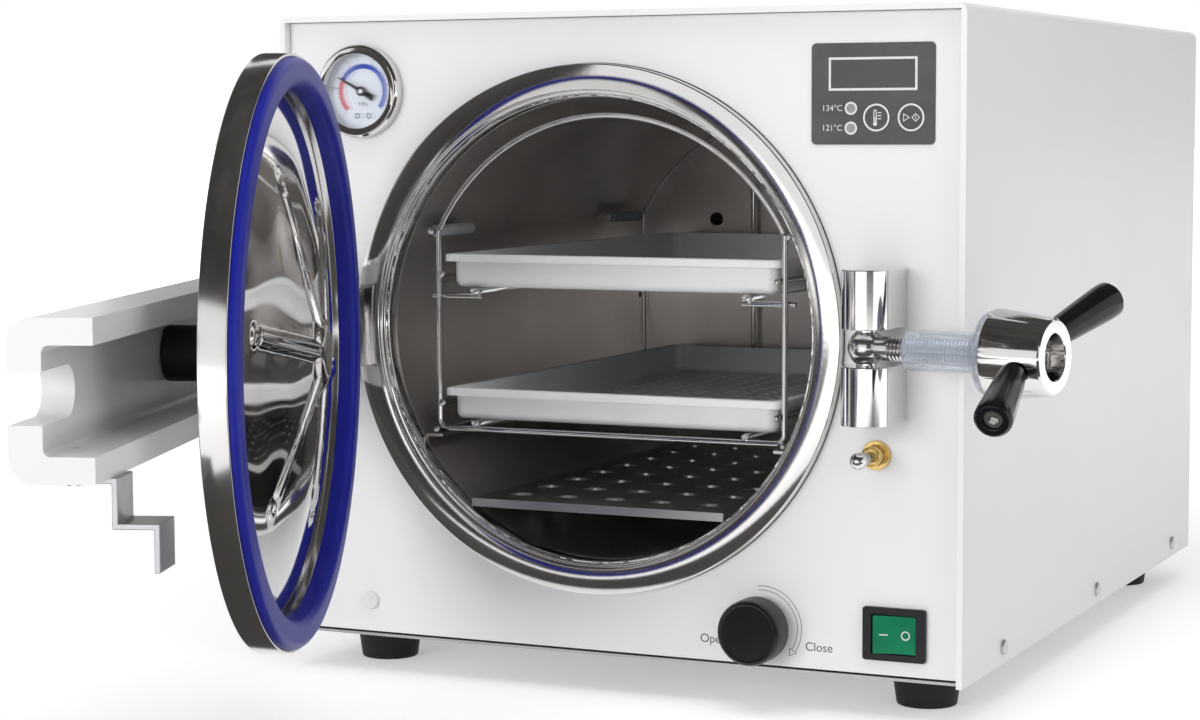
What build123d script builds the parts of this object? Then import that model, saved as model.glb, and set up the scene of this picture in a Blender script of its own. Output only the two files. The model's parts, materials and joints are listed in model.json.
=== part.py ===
"""Bench-top autoclave with a side-hinged round lid and a screw-down swing bolt.

Millimetres, +X to the right, +Y to the back, +Z up. The pieces are laid out from the middle of the
front panel's face at bench level, and the whole object is moved at the end so that its origin is the
middle of its outline on the bench, with the door and the bolt swung open as they rest.
"""

from build123d import *
import os
from math import asin, cos, radians, sin, sqrt

# Fits between pieces
sheet_gap = 0.2
running_gap = 0.05
clear_gap = 0.3

# Cabinet
cabinet_width = 388.0
cabinet_depth = 502.0
cabinet_height = 338.0
foot_height = 20.0
shell_sheet = 1.5
shell_radius = 5.0
front_lip = 6.0
lip_thickness = 3.0
lip_depth = 12.0
panel_sheet = 1.5
panel_flange = 14.0
panel_step = 3.0
base_flange = 18.0

# Feet and cabinet screws
foot_bottom_radius = 15.6
foot_top_radius = 18.5
foot_side_inset = 35.0
front_foot_y = 47.0
rear_foot_inset = 44.0
screw_radius = 2.0
screw_head_radius = 4.0
screw_head_height = 1.8
case_screw_height = 29.0
case_screw_front = 65.0
case_screw_from_rear = 50.0

# Chamber and mouth
mouth_x = -9.1
mouth_z = 192.3
chamber_radius = 121.5
chamber_wall = 2.0
chamber_depth = 346.0
ring_step = 3.5
ring_width = 13.7
ring_proud = 6.4
ring_depth = 14.4
ledge_width = 9.0
ledge_thickness = 1.5
rear_port_radius = 4.5
side_port_radius = 2.0
jacket_thickness = 16.0
heater_thickness = 4.0
heater_length = 140.0
saddle_sheet = 3.0
saddle_half_width = 80.0

# Lid
lid_overhang = 2.1
rim_thickness = 13.0
gasket_width = 14.2
gasket_proud = 4.3
gasket_depth = 5.0
pan_sheet = 2.0
dome_depth = 22.0
dome_lean = 0.75
rib_count = 6
rib_start_angle = 10.0
rib_radius = 4.0
rib_reach = 87.0
rib_end_radius = 5.5
boss_radius = 15.0
boss_height = 2.5

# Door beam and hinge
hinge_margin = 15.0
hinge_reach = 50.0
hinge_pin_radius = 6.0
hinge_block_radius = 12.0
hinge_neck_half = 10.0
hinge_plate_thickness = 5.0
hinge_plate_height = 60.0
beam_offset = 2.5
beam_depth = 36.0
beam_height = 67.6
beam_centre_z = 189.2
beam_web = 14.5
beam_flange = 11.2
beam_corner = 11.0
beam_overrun = 34.6
beam_ear_radius = 14.0
slot_width = 22.0
hub_radius = 13.3
stud_radius = 6.0
door_open_angle = 70.8

# Striker under the beam
striker_sheet = 2.5
striker_width = 24.0
striker_shift = 4.7
striker_step_z = 136.5
striker_foot_z = 116.0

# Latch bracket and swing bolt
latch_margin = 20.8
latch_reach = 26.0
latch_z = 190.2
latch_block_radius = 12.4
latch_block_height = 29.4
latch_gap = 18.0
latch_pin_radius = 5.0
eye_radius = 9.3
bolt_radius = 6.0
bolt_length = 92.0
bush_start = 23.7
bush_sleeve_radius = 10.0
bush_flange_start = 65.0
bush_flange_radius = 20.3
hub_start = 70.5
clamp_hub_length = 30.6
clamp_hub_radius = 22.0
clamp_hub_end_radius = 18.3
clamp_bore_radius = 11.0
clamp_bore_depth = 16.0
handle_place = 13.0
handle_tilt = 68.8
handle_rake = 14.0
handle_reach = 69.5
handle_stud_radius = 4.0
handle_stud_start = 13.0
grip_neck_radius = 6.6
grip_end_radius = 9.0
grip_screw_radius = 4.5
bolt_open_angle = 79.8

# Door interlock
plunger_from_latch = 3.1
plunger_z = 134.2
bush_flange_r = 7.4
bush_barrel_r = 5.2
plunger_stem_radius = 2.5
plunger_ball_radius = 4.4
plunger_travel = 6.0

# Pressure gauge, placed from the left side and the top
gauge_from_side = 47.6
gauge_from_top = 40.3
gauge_radius = 25.0
gauge_proud = 7.0
gauge_depth = 28.0
dial_radius = 20.0
needle_angle = 152.0
needle_length = 16.0

# Control overlay, placed from the right side and the top
overlay_width = 64.5
overlay_height = 50.3
overlay_from_side = 17.5
overlay_from_top = 18.7
overlay_thickness = 0.8
display_width = 45.0
display_height = 15.3
lamp_radius = 3.2
key_radius = 6.9
key_travel = 0.4

# Mains rocker, placed from the right side
rocker_from_side = 36.6
rocker_height = 44.2
rocker_frame_width = 33.0
rocker_frame_height = 27.0
rocker_width = 22.0
rocker_span = 19.2
rocker_tilt = 7.0

# Steam release
release_from_side = 108.0
release_z = 42.5
release_radius = 17.0
release_face = 22.0

# Left plug
plug_from_side = 50.0
plug_z = 40.0

# Rack, trays and shelf
wire_radius = 1.5
wire_gap = 0.05
wire_ball_radius = 1.9
wire_overhang = 3.0
corner_rod_shift = 0.7
rack_clearance = 9.5
floor_rod_inset = 21.7
shoulder_stub_length = 46.0
sleeve_length = 40.0
rack_shoulder_rise = 49.7
rack_floor_drop = 57.3
rack_front = 17.0
rack_rear = 291.0
rack_end = 340.0
tray_front = 17.0
tray_length = 312.0
tray_wall = 1.2
tray_depth = 18.0
lower_tray_depth = 17.0
tray_rim = 4.0
tray_rim_height = 4.0
upper_tray_top = 229.8
tray_corner = 6.0
tray_rim_corner = 5.0
hole_radius = 2.0
hole_pitch = 13.0
shelf_top = 99.8
shelf_sheet = 1.5
shelf_edge = 4.5
shelf_length = 336.0
shelf_hole_radius = 6.7
shelf_hole_columns = 5
shelf_hole_rows = 9
shelf_hole_across = 27.0
shelf_hole_along = 34.0
shelf_hole_front = 23.0

# Rear fittings, by height and by distance from the middle
inlet_x = -140.0
inlet_z = 62.0
fuse_x = -100.0
fuse_heights = (52.0, 74.0)
nozzle_z = 42.5
nozzle_from_release = 32.0
safety_x = 40.0
safety_z = 250.0
steam_pipe_radius = 4.0
gauge_pipe_radius = 2.0

# Places worked out from the sizes above
half_width = cabinet_width / 2
bottom = foot_height
top = foot_height + cabinet_height
front = -front_lip
rear = front + cabinet_depth
inner_half = half_width - shell_sheet
case_screw_rear = rear - case_screw_from_rear
case_screw_places = (case_screw_front, (case_screw_front + case_screw_rear) / 2, case_screw_rear)
panel_half = half_width - lip_thickness - sheet_gap
panel_top = top - lip_thickness - sheet_gap
panel_bottom = bottom + panel_step
vessel_radius = chamber_radius + chamber_wall
ring_bore = chamber_radius + ring_step
ring_radius = ring_bore + ring_width
ring_face = -ring_proud
ring_back = ring_face + ring_depth
lid_radius = ring_radius + lid_overhang
hinge_x = mouth_x - lid_radius - hinge_margin
hinge_y = -hinge_reach
latch_x = mouth_x + ring_radius + latch_margin
latch_y = -latch_reach
gasket_face = ring_face - clear_gap
rim_front = gasket_face - gasket_proud
rim_back = rim_front - rim_thickness
groove_floor = rim_front - gasket_depth
gasket_inner = ring_bore
gasket_outer = gasket_inner + gasket_width
pan_edge = groove_floor - clear_gap - pan_sheet
pan_crown = pan_edge + dome_depth
beam_inner = hinge_y - beam_offset
beam_outer = beam_inner - beam_depth
web_inner = beam_outer + beam_web
beam_bottom = beam_centre_z - beam_height / 2
beam_top = beam_centre_z + beam_height / 2
hollow_bottom = beam_bottom + beam_flange
hollow_top = beam_top - beam_flange
beam_end = latch_x + beam_overrun
plunger_x = latch_x - plunger_from_latch
gauge_x = -half_width + gauge_from_side
gauge_z = top - gauge_from_top
overlay_x = half_width - overlay_from_side - overlay_width / 2
overlay_z = top - overlay_from_top - overlay_height / 2
display_z = overlay_z + 9.8
lamp_x = overlay_x - 11.3
lamp_heights = (overlay_z - 7.2, overlay_z - 17.0)
key_places = {"key_mode": (overlay_x + 2.0, overlay_z - 11.8), "key_start": (overlay_x + 20.0, overlay_z - 11.8)}
rocker_x = half_width - rocker_from_side
release_x = half_width - release_from_side
nozzle_x = release_x + nozzle_from_release
plug_x = -half_width + plug_from_side
arch_radius = chamber_radius - rack_clearance
leg_offset = sqrt(arch_radius**2 - rack_shoulder_rise**2)
rack_floor = mouth_z - rack_floor_drop
shoulder_z = mouth_z + rack_shoulder_rise
tray_rear = tray_front + tray_length
rim_half = leg_offset - wire_radius - 2 * clear_gap
ledge_z = rack_floor - corner_rod_shift - wire_ball_radius - clear_gap
tray_half = rim_half - tray_rim
floor_rod_offset = leg_offset - floor_rod_inset
wire_pitch = 2 * wire_radius + wire_gap
wire_cap_radius = wire_radius + 2 * wire_gap
floor_rod_z = rack_floor + wire_pitch
lower_tray_floor = floor_rod_z + wire_radius + clear_gap
lower_tray_top = lower_tray_floor + lower_tray_depth
upper_tray_floor = upper_tray_top - tray_depth
upper_rod_z = upper_tray_floor - clear_gap - wire_radius
side_rod_offset = leg_offset - wire_pitch
shoulder_rod_offset = leg_offset + wire_pitch + 2 * wire_gap
jacket_inner = vessel_radius + clear_gap + heater_thickness + clear_gap
jacket_outer = jacket_inner + jacket_thickness
saddle_places = (36.0, chamber_depth - 8.0)
jacket_ends = (60.0, chamber_depth - 20.0)
shelf_bottom = shelf_top - shelf_edge
shelf_half = sqrt(chamber_radius**2 - (mouth_z - shelf_bottom) ** 2) - clear_gap
pipe_y = (chamber_depth + rear) / 2


def block(x, y, z):
    """A box between two values on each axis."""
    size = [high - low for low, high in (x, y, z)]
    centre = [(low + high) / 2 for low, high in (x, y, z)]
    return Pos(*centre) * Box(*size)


def centred_block(x, z, width, height, y):
    """A box centred on a place of the front or rear, between two values of y."""
    return block((x - width / 2, x + width / 2), y, (z - height / 2, z + height / 2))


def rod(start, end, radius):
    """A round bar from one point to another."""
    run = Vector(*end) - Vector(*start)
    base = Plane(origin=Vector(*start), z_dir=run)
    return base * Cylinder(radius, run.length, align=(Align.CENTER, Align.CENTER, Align.MIN))


def bar_y(x, z, radius, y):
    """A round bar along Y between two values of y."""
    return rod((x, y[0], z), (x, y[1], z), radius)


def bar_z(x, y, radius, z):
    """A round bar along Z between two values of z."""
    return rod((x, y, z[0]), (x, y, z[1]), radius)


def tube_y(x, z, outer, inner, y):
    """A round tube along Y."""
    return bar_y(x, z, outer, y) - bar_y(x, z, inner, (y[0] - 1, y[1] + 1))


def turned(x, z, points):
    """A turned piece about an axis along Y, from its (radius, y) outline."""
    outline = Polyline(*points, close=True)
    return Pos(x, 0, z) * revolve(make_face(outline), Axis.Y)


def swept(points, radius, bend):
    """A round bar bent along straight runs and tangent arcs."""
    path = FilletPolyline(*points, radius=bend)
    section = Plane(origin=path @ 0, z_dir=path % 0) * Circle(radius)
    return sweep(section, path=path)


def rounded_plate(x, z, width, height, radius, y):
    """A plate in the XZ plane with rounded corners."""
    outline = Plane.XZ * RectangleRounded(width, height, radius)
    return Pos(x, y[1], z) * extrude(outline, amount=y[1] - y[0])


def solids_of(*shapes):
    """One flat group of all the solids of some shapes."""
    return Compound(children=[solid for shape in shapes for solid in shape.solids()])


def make_outer_shell():
    """Folded cover: a top and two sides, with a thicker lip folded round the front."""
    outside = block((-half_width, half_width), (front, rear), (bottom, top))
    long_edges = outside.edges().filter_by(Axis.Y).sort_by(Axis.Z)[-2:]
    outside = fillet(long_edges, shell_radius)
    inside = block((-inner_half, inner_half), (front + lip_depth, rear + 1), (bottom - 1, top - shell_sheet))
    inside_edges = inside.edges().filter_by(Axis.Y).sort_by(Axis.Z)[-2:]
    inside = fillet(inside_edges, shell_radius - shell_sheet)
    lip_half = half_width - lip_thickness
    opening = block((-lip_half, lip_half), (front - 1, rear), (bottom - 1, top - lip_thickness))
    shell = outside - inside - opening
    for side in (-1, 1):
        for place in case_screw_places:
            inner = (side * (inner_half - 1), place, case_screw_height)
            outer = (side * (half_width + 1), place, case_screw_height)
            shell = shell - rod(inner, outer, screw_radius + running_gap)
    return shell


def make_front_panel():
    """Front sheet with folded edges and a hole for each fitting."""
    panel = block((-panel_half, panel_half), (0, panel_flange), (panel_bottom, panel_top))
    hollow_half = panel_half - panel_sheet
    hollow_z = (panel_bottom + panel_sheet, panel_top - panel_sheet)
    panel = panel - block((-hollow_half, hollow_half), (panel_sheet, panel_flange + 1), hollow_z)
    depth = (-1, panel_sheet + 1)
    holes = [bar_y(mouth_x, mouth_z, ring_radius + clear_gap, depth)]
    holes.append(bar_y(gauge_x, gauge_z, gauge_radius - 2.0, depth))
    holes.append(bar_y(plunger_x, plunger_z, bush_barrel_r + running_gap, depth))
    holes.append(bar_y(release_x, release_z, 6.0 + running_gap, depth))
    holes.append(bar_y(plug_x, plug_z, 3.0 + running_gap, depth))
    holes.append(centred_block(rocker_x, rocker_height, 29.4, 23.4, depth))
    holes.append(centred_block(overlay_x, display_z, display_width + 1, display_height + 1, depth))
    holes += [bar_y(lamp_x, z, lamp_radius + clear_gap, depth) for z in lamp_heights]
    holes += [bar_y(x, z, key_radius + clear_gap, depth) for x, z in key_places.values()]
    for hole in holes:
        panel = panel - hole
    return panel


def make_base_plate():
    """Bottom sheet with sides folded up inside the shell."""
    half = inner_half - sheet_gap
    y = (panel_flange + 2, rear - panel_flange - 2)
    tray = block((-half, half), y, (bottom, bottom + base_flange))
    inside = half - shell_sheet
    tray = tray - block((-inside, inside), (y[0] - 1, y[1] + 1), (bottom + shell_sheet, top))
    tongue_y = (panel_sheet + sheet_gap, rear - panel_sheet - sheet_gap)
    tongue = block((-panel_half, panel_half), tongue_y, (bottom, bottom + shell_sheet))
    plate = tray + tongue
    for side in (-1, 1):
        for place in case_screw_places:
            inner = (side * (inside - 1), place, case_screw_height)
            outer = (side * (half + 1), place, case_screw_height)
            plate = plate - rod(inner, outer, screw_radius + running_gap)
    return plate


def make_rear_panel():
    """Rear sheet with folded edges, vent slots and a hole for each rear fitting."""
    half = inner_half - sheet_gap
    z = (bottom + shell_sheet + sheet_gap, top - shell_sheet - sheet_gap)
    panel = block((-half, half), (rear - panel_flange, rear), z)
    hollow_z = (z[0] + panel_sheet, z[1] - panel_sheet)
    hollow_y = (rear - panel_flange - 1, rear - panel_sheet)
    panel = panel - block((-half + panel_sheet, half - panel_sheet), hollow_y, hollow_z)
    panel = fillet(panel.edges().filter_by(Axis.Y).group_by(Axis.Z)[-1], shell_radius - shell_sheet)
    depth = (rear - panel_sheet - 1, rear + 1)
    holes = [centred_block(inlet_x, inlet_z, 28.0, 20.6, depth)]
    holes += [bar_y(fuse_x, z, 5.5 + running_gap, depth) for z in fuse_heights]
    holes.append(bar_y(nozzle_x, nozzle_z, 6.0 + running_gap, depth))
    holes.append(bar_y(safety_x, safety_z, 7.0 + running_gap, depth))
    slot_count = 9
    slot_pitch = 9.0
    for column in (-1, 1):
        for row in range(slot_count):
            slot_z = top - 40.0 - row * slot_pitch
            holes.append(centred_block(column * half * 0.6, slot_z, 60.0, 3.0, depth))
    for hole in holes:
        panel = panel - hole
    return panel


def make_chamber():
    """Pressure vessel: tube and rear wall, with ports and two ledges that the rack slides on."""
    back = chamber_depth + chamber_wall
    outline = [
        (0, chamber_depth),
        (chamber_radius, chamber_depth),
        (chamber_radius, ring_back),
        (vessel_radius, ring_back),
        (vessel_radius, back),
        (0, back),
    ]
    vessel = turned(mouth_x, mouth_z, outline)
    drop = mouth_z - ledge_z + ledge_thickness / 2
    wall_offset = sqrt(chamber_radius**2 - drop**2)
    for side in (-1, 1):
        outer = mouth_x + side * (wall_offset + 1.0)
        inner = mouth_x + side * (wall_offset - ledge_width)
        span = (min(outer, inner), max(outer, inner))
        vessel = vessel + block(span, (rack_front - 5, rack_end), (ledge_z - ledge_thickness, ledge_z))
    port_z = mouth_z + 45.7
    port_x = mouth_x - 73.2
    vessel = vessel - bar_y(port_x, port_z, rear_port_radius, (chamber_depth - 1, back + 1))
    vessel = vessel - bar_y(safety_x, safety_z, rear_port_radius, (chamber_depth - 1, back + 1))
    side_start = (mouth_x - chamber_radius + 2, chamber_depth - 14, mouth_z - 3.6)
    side_end = (mouth_x - vessel_radius - 1, chamber_depth - 14, mouth_z - 3.6)
    return vessel - rod(side_start, side_end, side_port_radius)


def make_mouth_ring():
    """Polished flange round the mouth, stepped inwards to the chamber."""
    outline = [
        (ring_bore, ring_face),
        (ring_radius - 1.0, ring_face),
        (ring_radius, ring_face + 1.0),
        (ring_radius, ring_back),
        (chamber_radius, ring_back),
        (chamber_radius, ring_face + 5.4),
        (ring_bore - 2.0, ring_face + 5.4),
        (ring_bore - 2.0, ring_face + 3.4),
        (ring_bore, ring_face + 3.4),
    ]
    return turned(mouth_x, mouth_z, outline)


def make_jacket():
    """Insulation sleeve round the vessel."""
    return tube_y(mouth_x, mouth_z, jacket_outer, jacket_inner, jacket_ends)


def make_heater():
    """Band heater wrapped round the vessel under the jacket."""
    inner = vessel_radius + clear_gap
    middle = sum(jacket_ends) / 2
    y = (middle - heater_length / 2, middle + heater_length / 2)
    band = tube_y(mouth_x, mouth_z, inner + heater_thickness, inner, y)
    gap_half = 4.0
    return band - block((mouth_x - gap_half, mouth_x + gap_half), (y[0] - 1, y[1] + 1), (mouth_z, top))


def make_saddles():
    """Two sheet saddles that carry the vessel on the base plate."""
    saddles = []
    low = bottom + shell_sheet
    for place in saddle_places:
        x = (mouth_x - saddle_half_width, mouth_x + saddle_half_width)
        plate = block(x, (place, place + saddle_sheet), (low, mouth_z - 60))
        plate = plate - bar_y(mouth_x, mouth_z, vessel_radius + clear_gap, (place - 1, place + saddle_sheet + 1))
        foot = block(x, (place, place + 14.0), (low, low + saddle_sheet))
        saddles.append(plate + foot)
    return solids_of(*saddles)


def d_block(x, y, radius, z):
    """A D-shaped block: a round nose about a pin, run back to the front panel."""
    nose = bar_z(x, y, radius, z)
    return nose + block((x - radius, x + radius), (y, 0), z)


def make_latch_bracket():
    """Two D-shaped blocks, one above and one below the bolt's eye."""
    blocks = []
    for side in (-1, 1):
        near = latch_z + side * latch_gap / 2
        far = near + side * latch_block_height
        z = (min(near, far), max(near, far))
        body = d_block(latch_x, latch_y, latch_block_radius, z)
        blocks.append(body - bar_z(latch_x, latch_y, latch_pin_radius, (z[0] - 1, z[1] + 1)))
    return solids_of(*blocks)


def make_latch_pin():
    """Upright pin through both blocks and the bolt's eye."""
    reach = latch_gap / 2 + latch_block_height
    return bar_z(latch_x, latch_y, latch_pin_radius, (latch_z - reach, latch_z + reach))


def make_hinge_bracket():
    """Block that carries the door's pin, with a neck and a plate on the front panel."""
    z = (hollow_bottom + 2 * clear_gap, hollow_top - 2 * clear_gap)
    block_body = bar_z(hinge_x, hinge_y, hinge_block_radius, z)
    neck_x = (hinge_x - hinge_neck_half, hinge_x + hinge_neck_half)
    block_body = block_body + block(neck_x, (hinge_y, 0), z)
    plate_x = (hinge_x - 20.0, mouth_x - ring_radius - 2.0)
    plate_z = (beam_centre_z - hinge_plate_height / 2, beam_centre_z + hinge_plate_height / 2)
    block_body = block_body + block(plate_x, (-hinge_plate_thickness, 0), plate_z)
    return block_body - bar_z(hinge_x, hinge_y, hinge_pin_radius, (z[0] - 1, z[1] + 1))


def make_hinge_pin():
    """Headed upright pin through the beam's two flanges and the hinge block."""
    head = 2.5
    shank = bar_z(hinge_x, hinge_y, hinge_pin_radius, (beam_bottom, beam_top + clear_gap))
    cap = bar_z(hinge_x, hinge_y, hinge_pin_radius + 2.5, (beam_top + clear_gap, beam_top + clear_gap + head))
    return shank + cap


def make_door_beam():
    """White cast channel, open towards the lid, with ears at the hinge and a slot for the bolt."""
    x = (hinge_x - beam_ear_radius, beam_end)
    beam = block(x, (beam_outer, beam_inner), (beam_bottom, beam_top))
    beam = fillet(beam.edges().filter_by(Axis.X).sort_by(Axis.Y)[:2], beam_corner)
    hollow = block((x[0] - 1, x[1] + 1), (web_inner, beam_inner + 1), (hollow_bottom, hollow_top))
    hollow = fillet(hollow.edges().filter_by(Axis.X).sort_by(Axis.Y)[:2], 3.0)
    beam = beam - hollow
    for z in ((beam_bottom, hollow_bottom), (hollow_top, beam_top)):
        ear = bar_z(hinge_x, hinge_y, beam_ear_radius, z)
        ear_x = (hinge_x - beam_ear_radius, hinge_x + beam_ear_radius)
        beam = beam + (ear + block(ear_x, (beam_inner - 2, hinge_y), z))
        beam = beam - bar_z(hinge_x, hinge_y, hinge_pin_radius + running_gap, (z[0] - 1, z[1] + 1))
    slot_z = (latch_z - slot_width / 2, latch_z + slot_width / 2)
    beam = beam - block((latch_x, beam_end + 1), (beam_outer - 1, web_inner + 1), slot_z)
    beam = beam - bar_y(latch_x, latch_z, slot_width / 2, (beam_outer - 1, web_inner + 1))
    beam = beam - bar_y(mouth_x, mouth_z, stud_radius, (beam_outer - 1, web_inner + 1))
    screw_x, screw_y = striker_screw_place()
    return beam - bar_z(screw_x, screw_y, screw_radius, (beam_bottom - 1, hollow_bottom + 1))


def make_lid_rim():
    """Turned ring that carries the gasket in a step of its front face."""
    outline = [
        (gasket_inner, rim_back),
        (lid_radius - 1.5, rim_back),
        (lid_radius, rim_back + 1.5),
        (lid_radius, rim_front - 2.0),
        (lid_radius - 0.6, rim_front),
        (gasket_outer, rim_front),
        (gasket_outer, groove_floor),
        (gasket_inner, groove_floor),
    ]
    return turned(mouth_x, mouth_z, outline)


def make_gasket():
    """Silicone gasket with a rounded nose, seated in the rim."""
    nose = 4.0
    shoulder = gasket_face - nose * (1 - cos(radians(45)))
    inset = nose * (1 - cos(radians(45)))
    outline = [
        (gasket_inner, groove_floor),
        (gasket_outer, groove_floor),
        (gasket_outer, gasket_face - nose),
        (gasket_outer - inset, shoulder),
        (gasket_outer - nose, gasket_face),
        (gasket_inner + nose, gasket_face),
        (gasket_inner + inset, shoulder),
        (gasket_inner, gasket_face - nose),
    ]
    return turned(mouth_x, mouth_z, outline)


def dome_y(radius):
    """The pan's front face at a distance from its middle: part cone, part bowl."""
    share = radius / gasket_inner
    return pan_edge + dome_depth * (1 - dome_lean * share - (1 - dome_lean) * share**2)


def dome_curve(drop):
    """The pan's profile, flat under the boss and then falling to its edge, moved back by a drop."""
    half_run = (gasket_inner - boss_radius) / 2
    slope = -dome_depth / gasket_inner * (dome_lean + 2 * (1 - dome_lean) * boss_radius / gasket_inner)
    flat_end = (boss_radius, dome_y(boss_radius) - drop)
    bend = (boss_radius + half_run, flat_end[1] + slope * half_run)
    return Line((0, flat_end[1]), flat_end) + Bezier(flat_end, bend, (gasket_inner, pan_edge - drop))


def make_lid_pan():
    """Pressed pan, domed into the chamber, with a star of ribs round its middle."""
    flat_y = dome_y(boss_radius)
    axis_edge = Line((0, flat_y), (0, flat_y - pan_sheet))
    rim_edge = Line((gasket_inner, pan_edge), (gasket_inner, pan_edge - pan_sheet))
    pan = revolve(make_face(dome_curve(0.0) + dome_curve(pan_sheet) + axis_edge + rim_edge), Axis.Y)
    star = Pos(0, pan_crown - 6.0, 0) * rod((0, 0, 0), (0, 6.0 + boss_height, 0), boss_radius)
    for index in range(rib_count):
        angle = radians(rib_start_angle + index * 360 / rib_count)
        inner = (boss_radius * cos(angle), dome_y(boss_radius) - 2.0, boss_radius * sin(angle))
        outer = (rib_reach * cos(angle), dome_y(rib_reach) - 2.0, rib_reach * sin(angle))
        star = star + rod(inner, outer, rib_radius)
        star = star + Pos(*outer) * Sphere(rib_end_radius)
    behind = [(0, flat_y - 1.0), (gasket_inner + 5, pan_edge - 40), (0, pan_edge - 40)]
    keep_edges = Line((gasket_inner, pan_edge - 1.0), (gasket_inner, behind[1][1]))
    keep_edges += Line((gasket_inner, behind[1][1]), behind[2]) + Line(behind[2], behind[0])
    star = star - revolve(make_face(dome_curve(1.0) + keep_edges), Axis.Y)
    return Pos(mouth_x, 0, mouth_z) * (pan + star)


def make_lid_hub():
    """Black hub between the lid's back and the beam's web."""
    hub_end = dome_y(boss_radius) - pan_sheet
    hub = bar_y(mouth_x, mouth_z, hub_radius, (web_inner, hub_end))
    hub = fillet(hub.edges().filter_by(GeomType.CIRCLE).sort_by(Axis.Y)[0], 2.0)
    return hub - bar_y(mouth_x, mouth_z, stud_radius, (web_inner - 1, web_inner + 14.0))


def make_lid_stud():
    """Stud through the beam's web with a domed nut on the outside."""
    stud = bar_y(mouth_x, mouth_z, stud_radius, (beam_outer, web_inner + 14.0))
    nut_face = Plane(origin=(mouth_x, beam_outer, mouth_z), z_dir=(0, -1, 0))
    nut = nut_face * extrude(RegularPolygon(10.0, 6), amount=6.0)
    dome = Pos(mouth_x, beam_outer - 6.0, mouth_z) * Sphere(8.0)
    dome = dome - block((mouth_x - 9, mouth_x + 9), (beam_outer - 6.0, beam_outer + 9), (mouth_z - 9, mouth_z + 9))
    return stud + nut + dome


def striker_screw_place():
    """Where the striker's screw enters the beam's lower flange."""
    return latch_x - striker_shift + 7.0, beam_inner - beam_depth / 2


def make_striker():
    """Bent strip under the beam whose foot presses the interlock plunger."""
    middle = latch_x - striker_shift + 5.0
    x = (middle - striker_width / 2, middle + striker_width / 2)
    foot_face = -plunger_reach() - clear_gap
    foot_back = foot_face - striker_sheet
    strip_front = beam_inner + striker_sheet
    tab = block(x, (beam_inner - beam_depth + 8.0, strip_front), (beam_bottom - striker_sheet, beam_bottom))
    drop = block(x, (beam_inner, strip_front), (striker_step_z - striker_sheet, beam_bottom))
    step = block(x, (beam_inner, foot_face), (striker_step_z - striker_sheet, striker_step_z))
    foot = block(x, (foot_back, foot_face), (striker_foot_z, striker_step_z))
    screw_x, screw_y = striker_screw_place()
    hole = bar_z(screw_x, screw_y, screw_radius, (beam_bottom - striker_sheet - 1, beam_bottom + 1))
    return tab + drop + step + foot - hole


def make_striker_screw():
    """Pan-head screw that holds the striker to the beam."""
    x, y = striker_screw_place()
    low = beam_bottom - striker_sheet
    shank = bar_z(x, y, screw_radius, (low, hollow_bottom - 1.0))
    head = bar_z(x, y, screw_head_radius, (low - screw_head_height, low))
    return shank + head


def plunger_reach():
    """How far the plunger's tip stands in front of the panel."""
    return hinge_reach - 17.8


def make_swing_bolt():
    """Bolt with a ball eye, laid out pointing forwards from its pin."""
    ball = Pos(latch_x, latch_y, latch_z) * Sphere(eye_radius)
    half_gap = latch_gap / 2 - clear_gap
    ball = ball & centred_block(latch_x, latch_z, 40, 2 * half_gap, (latch_y - 20, latch_y + 20))
    shank = bar_y(latch_x, latch_z, bolt_radius, (latch_y - bolt_length, latch_y - 6.0))
    bolt = ball + shank
    return bolt - bar_z(latch_x, latch_y, latch_pin_radius + running_gap, (latch_z - 20, latch_z + 20))


def make_thrust_bush():
    """Translucent sleeve and flange that ride on the bolt ahead of the hub."""
    bore = bolt_radius + clear_gap
    places = [
        (bore, bush_start),
        (bush_sleeve_radius - 1.0, bush_start),
        (bush_sleeve_radius, bush_start + 1.0),
        (bush_sleeve_radius, bush_flange_start),
        (bush_flange_radius - 2.0, bush_flange_start),
        (bush_flange_radius, bush_flange_start + 2.0),
        (bush_flange_radius, hub_start),
        (bore, hub_start),
    ]
    return turned(latch_x, latch_z, [(radius, latch_y - place) for radius, place in places])


def handle_direction(side):
    """Unit direction of a grip, raked outwards along the bolt."""
    tilt = radians(handle_tilt)
    rake = radians(handle_rake)
    return Vector(side * cos(rake) * sin(tilt), -sin(rake), side * cos(rake) * cos(tilt))


def handle_point(distance, side):
    """A point on a grip's middle line."""
    centre = Vector(latch_x, latch_y - hub_start - handle_place, latch_z)
    return tuple(centre + handle_direction(side) * distance)


def hub_radius_at(place):
    """The clamp hub's outer radius at a distance from its inner face."""
    return clamp_hub_radius + (clamp_hub_end_radius - clamp_hub_radius) * place / clamp_hub_length


def make_clamp_hub():
    """Tapered hub: a threaded bore on the bolt and a wider bore in its end."""
    thread = bolt_radius + running_gap
    shoulder = clamp_hub_length - clamp_bore_depth
    places = [
        (thread, 0),
        (clamp_hub_radius - 1.0, 0),
        (clamp_hub_radius, 1.0),
        (clamp_hub_end_radius, clamp_hub_length - 1.0),
        (clamp_hub_end_radius - 1.0, clamp_hub_length),
        (clamp_bore_radius + 0.6, clamp_hub_length),
        (clamp_bore_radius, clamp_hub_length - 0.6),
        (clamp_bore_radius, shoulder),
        (thread, shoulder),
    ]
    hub = turned(latch_x, latch_z, [(radius, latch_y - hub_start - place) for radius, place in places])
    for side in (-1, 1):
        hub = hub - rod(handle_point(handle_stud_start, side), handle_point(30.0, side), handle_stud_radius)
    return hub


def make_handle_studs():
    """Steel studs from the hub into each grip."""
    ends = (handle_stud_start, handle_reach - 8.0)
    studs = [rod(handle_point(ends[0], side), handle_point(ends[1], side), handle_stud_radius) for side in (-1, 1)]
    return solids_of(*studs)


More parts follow.
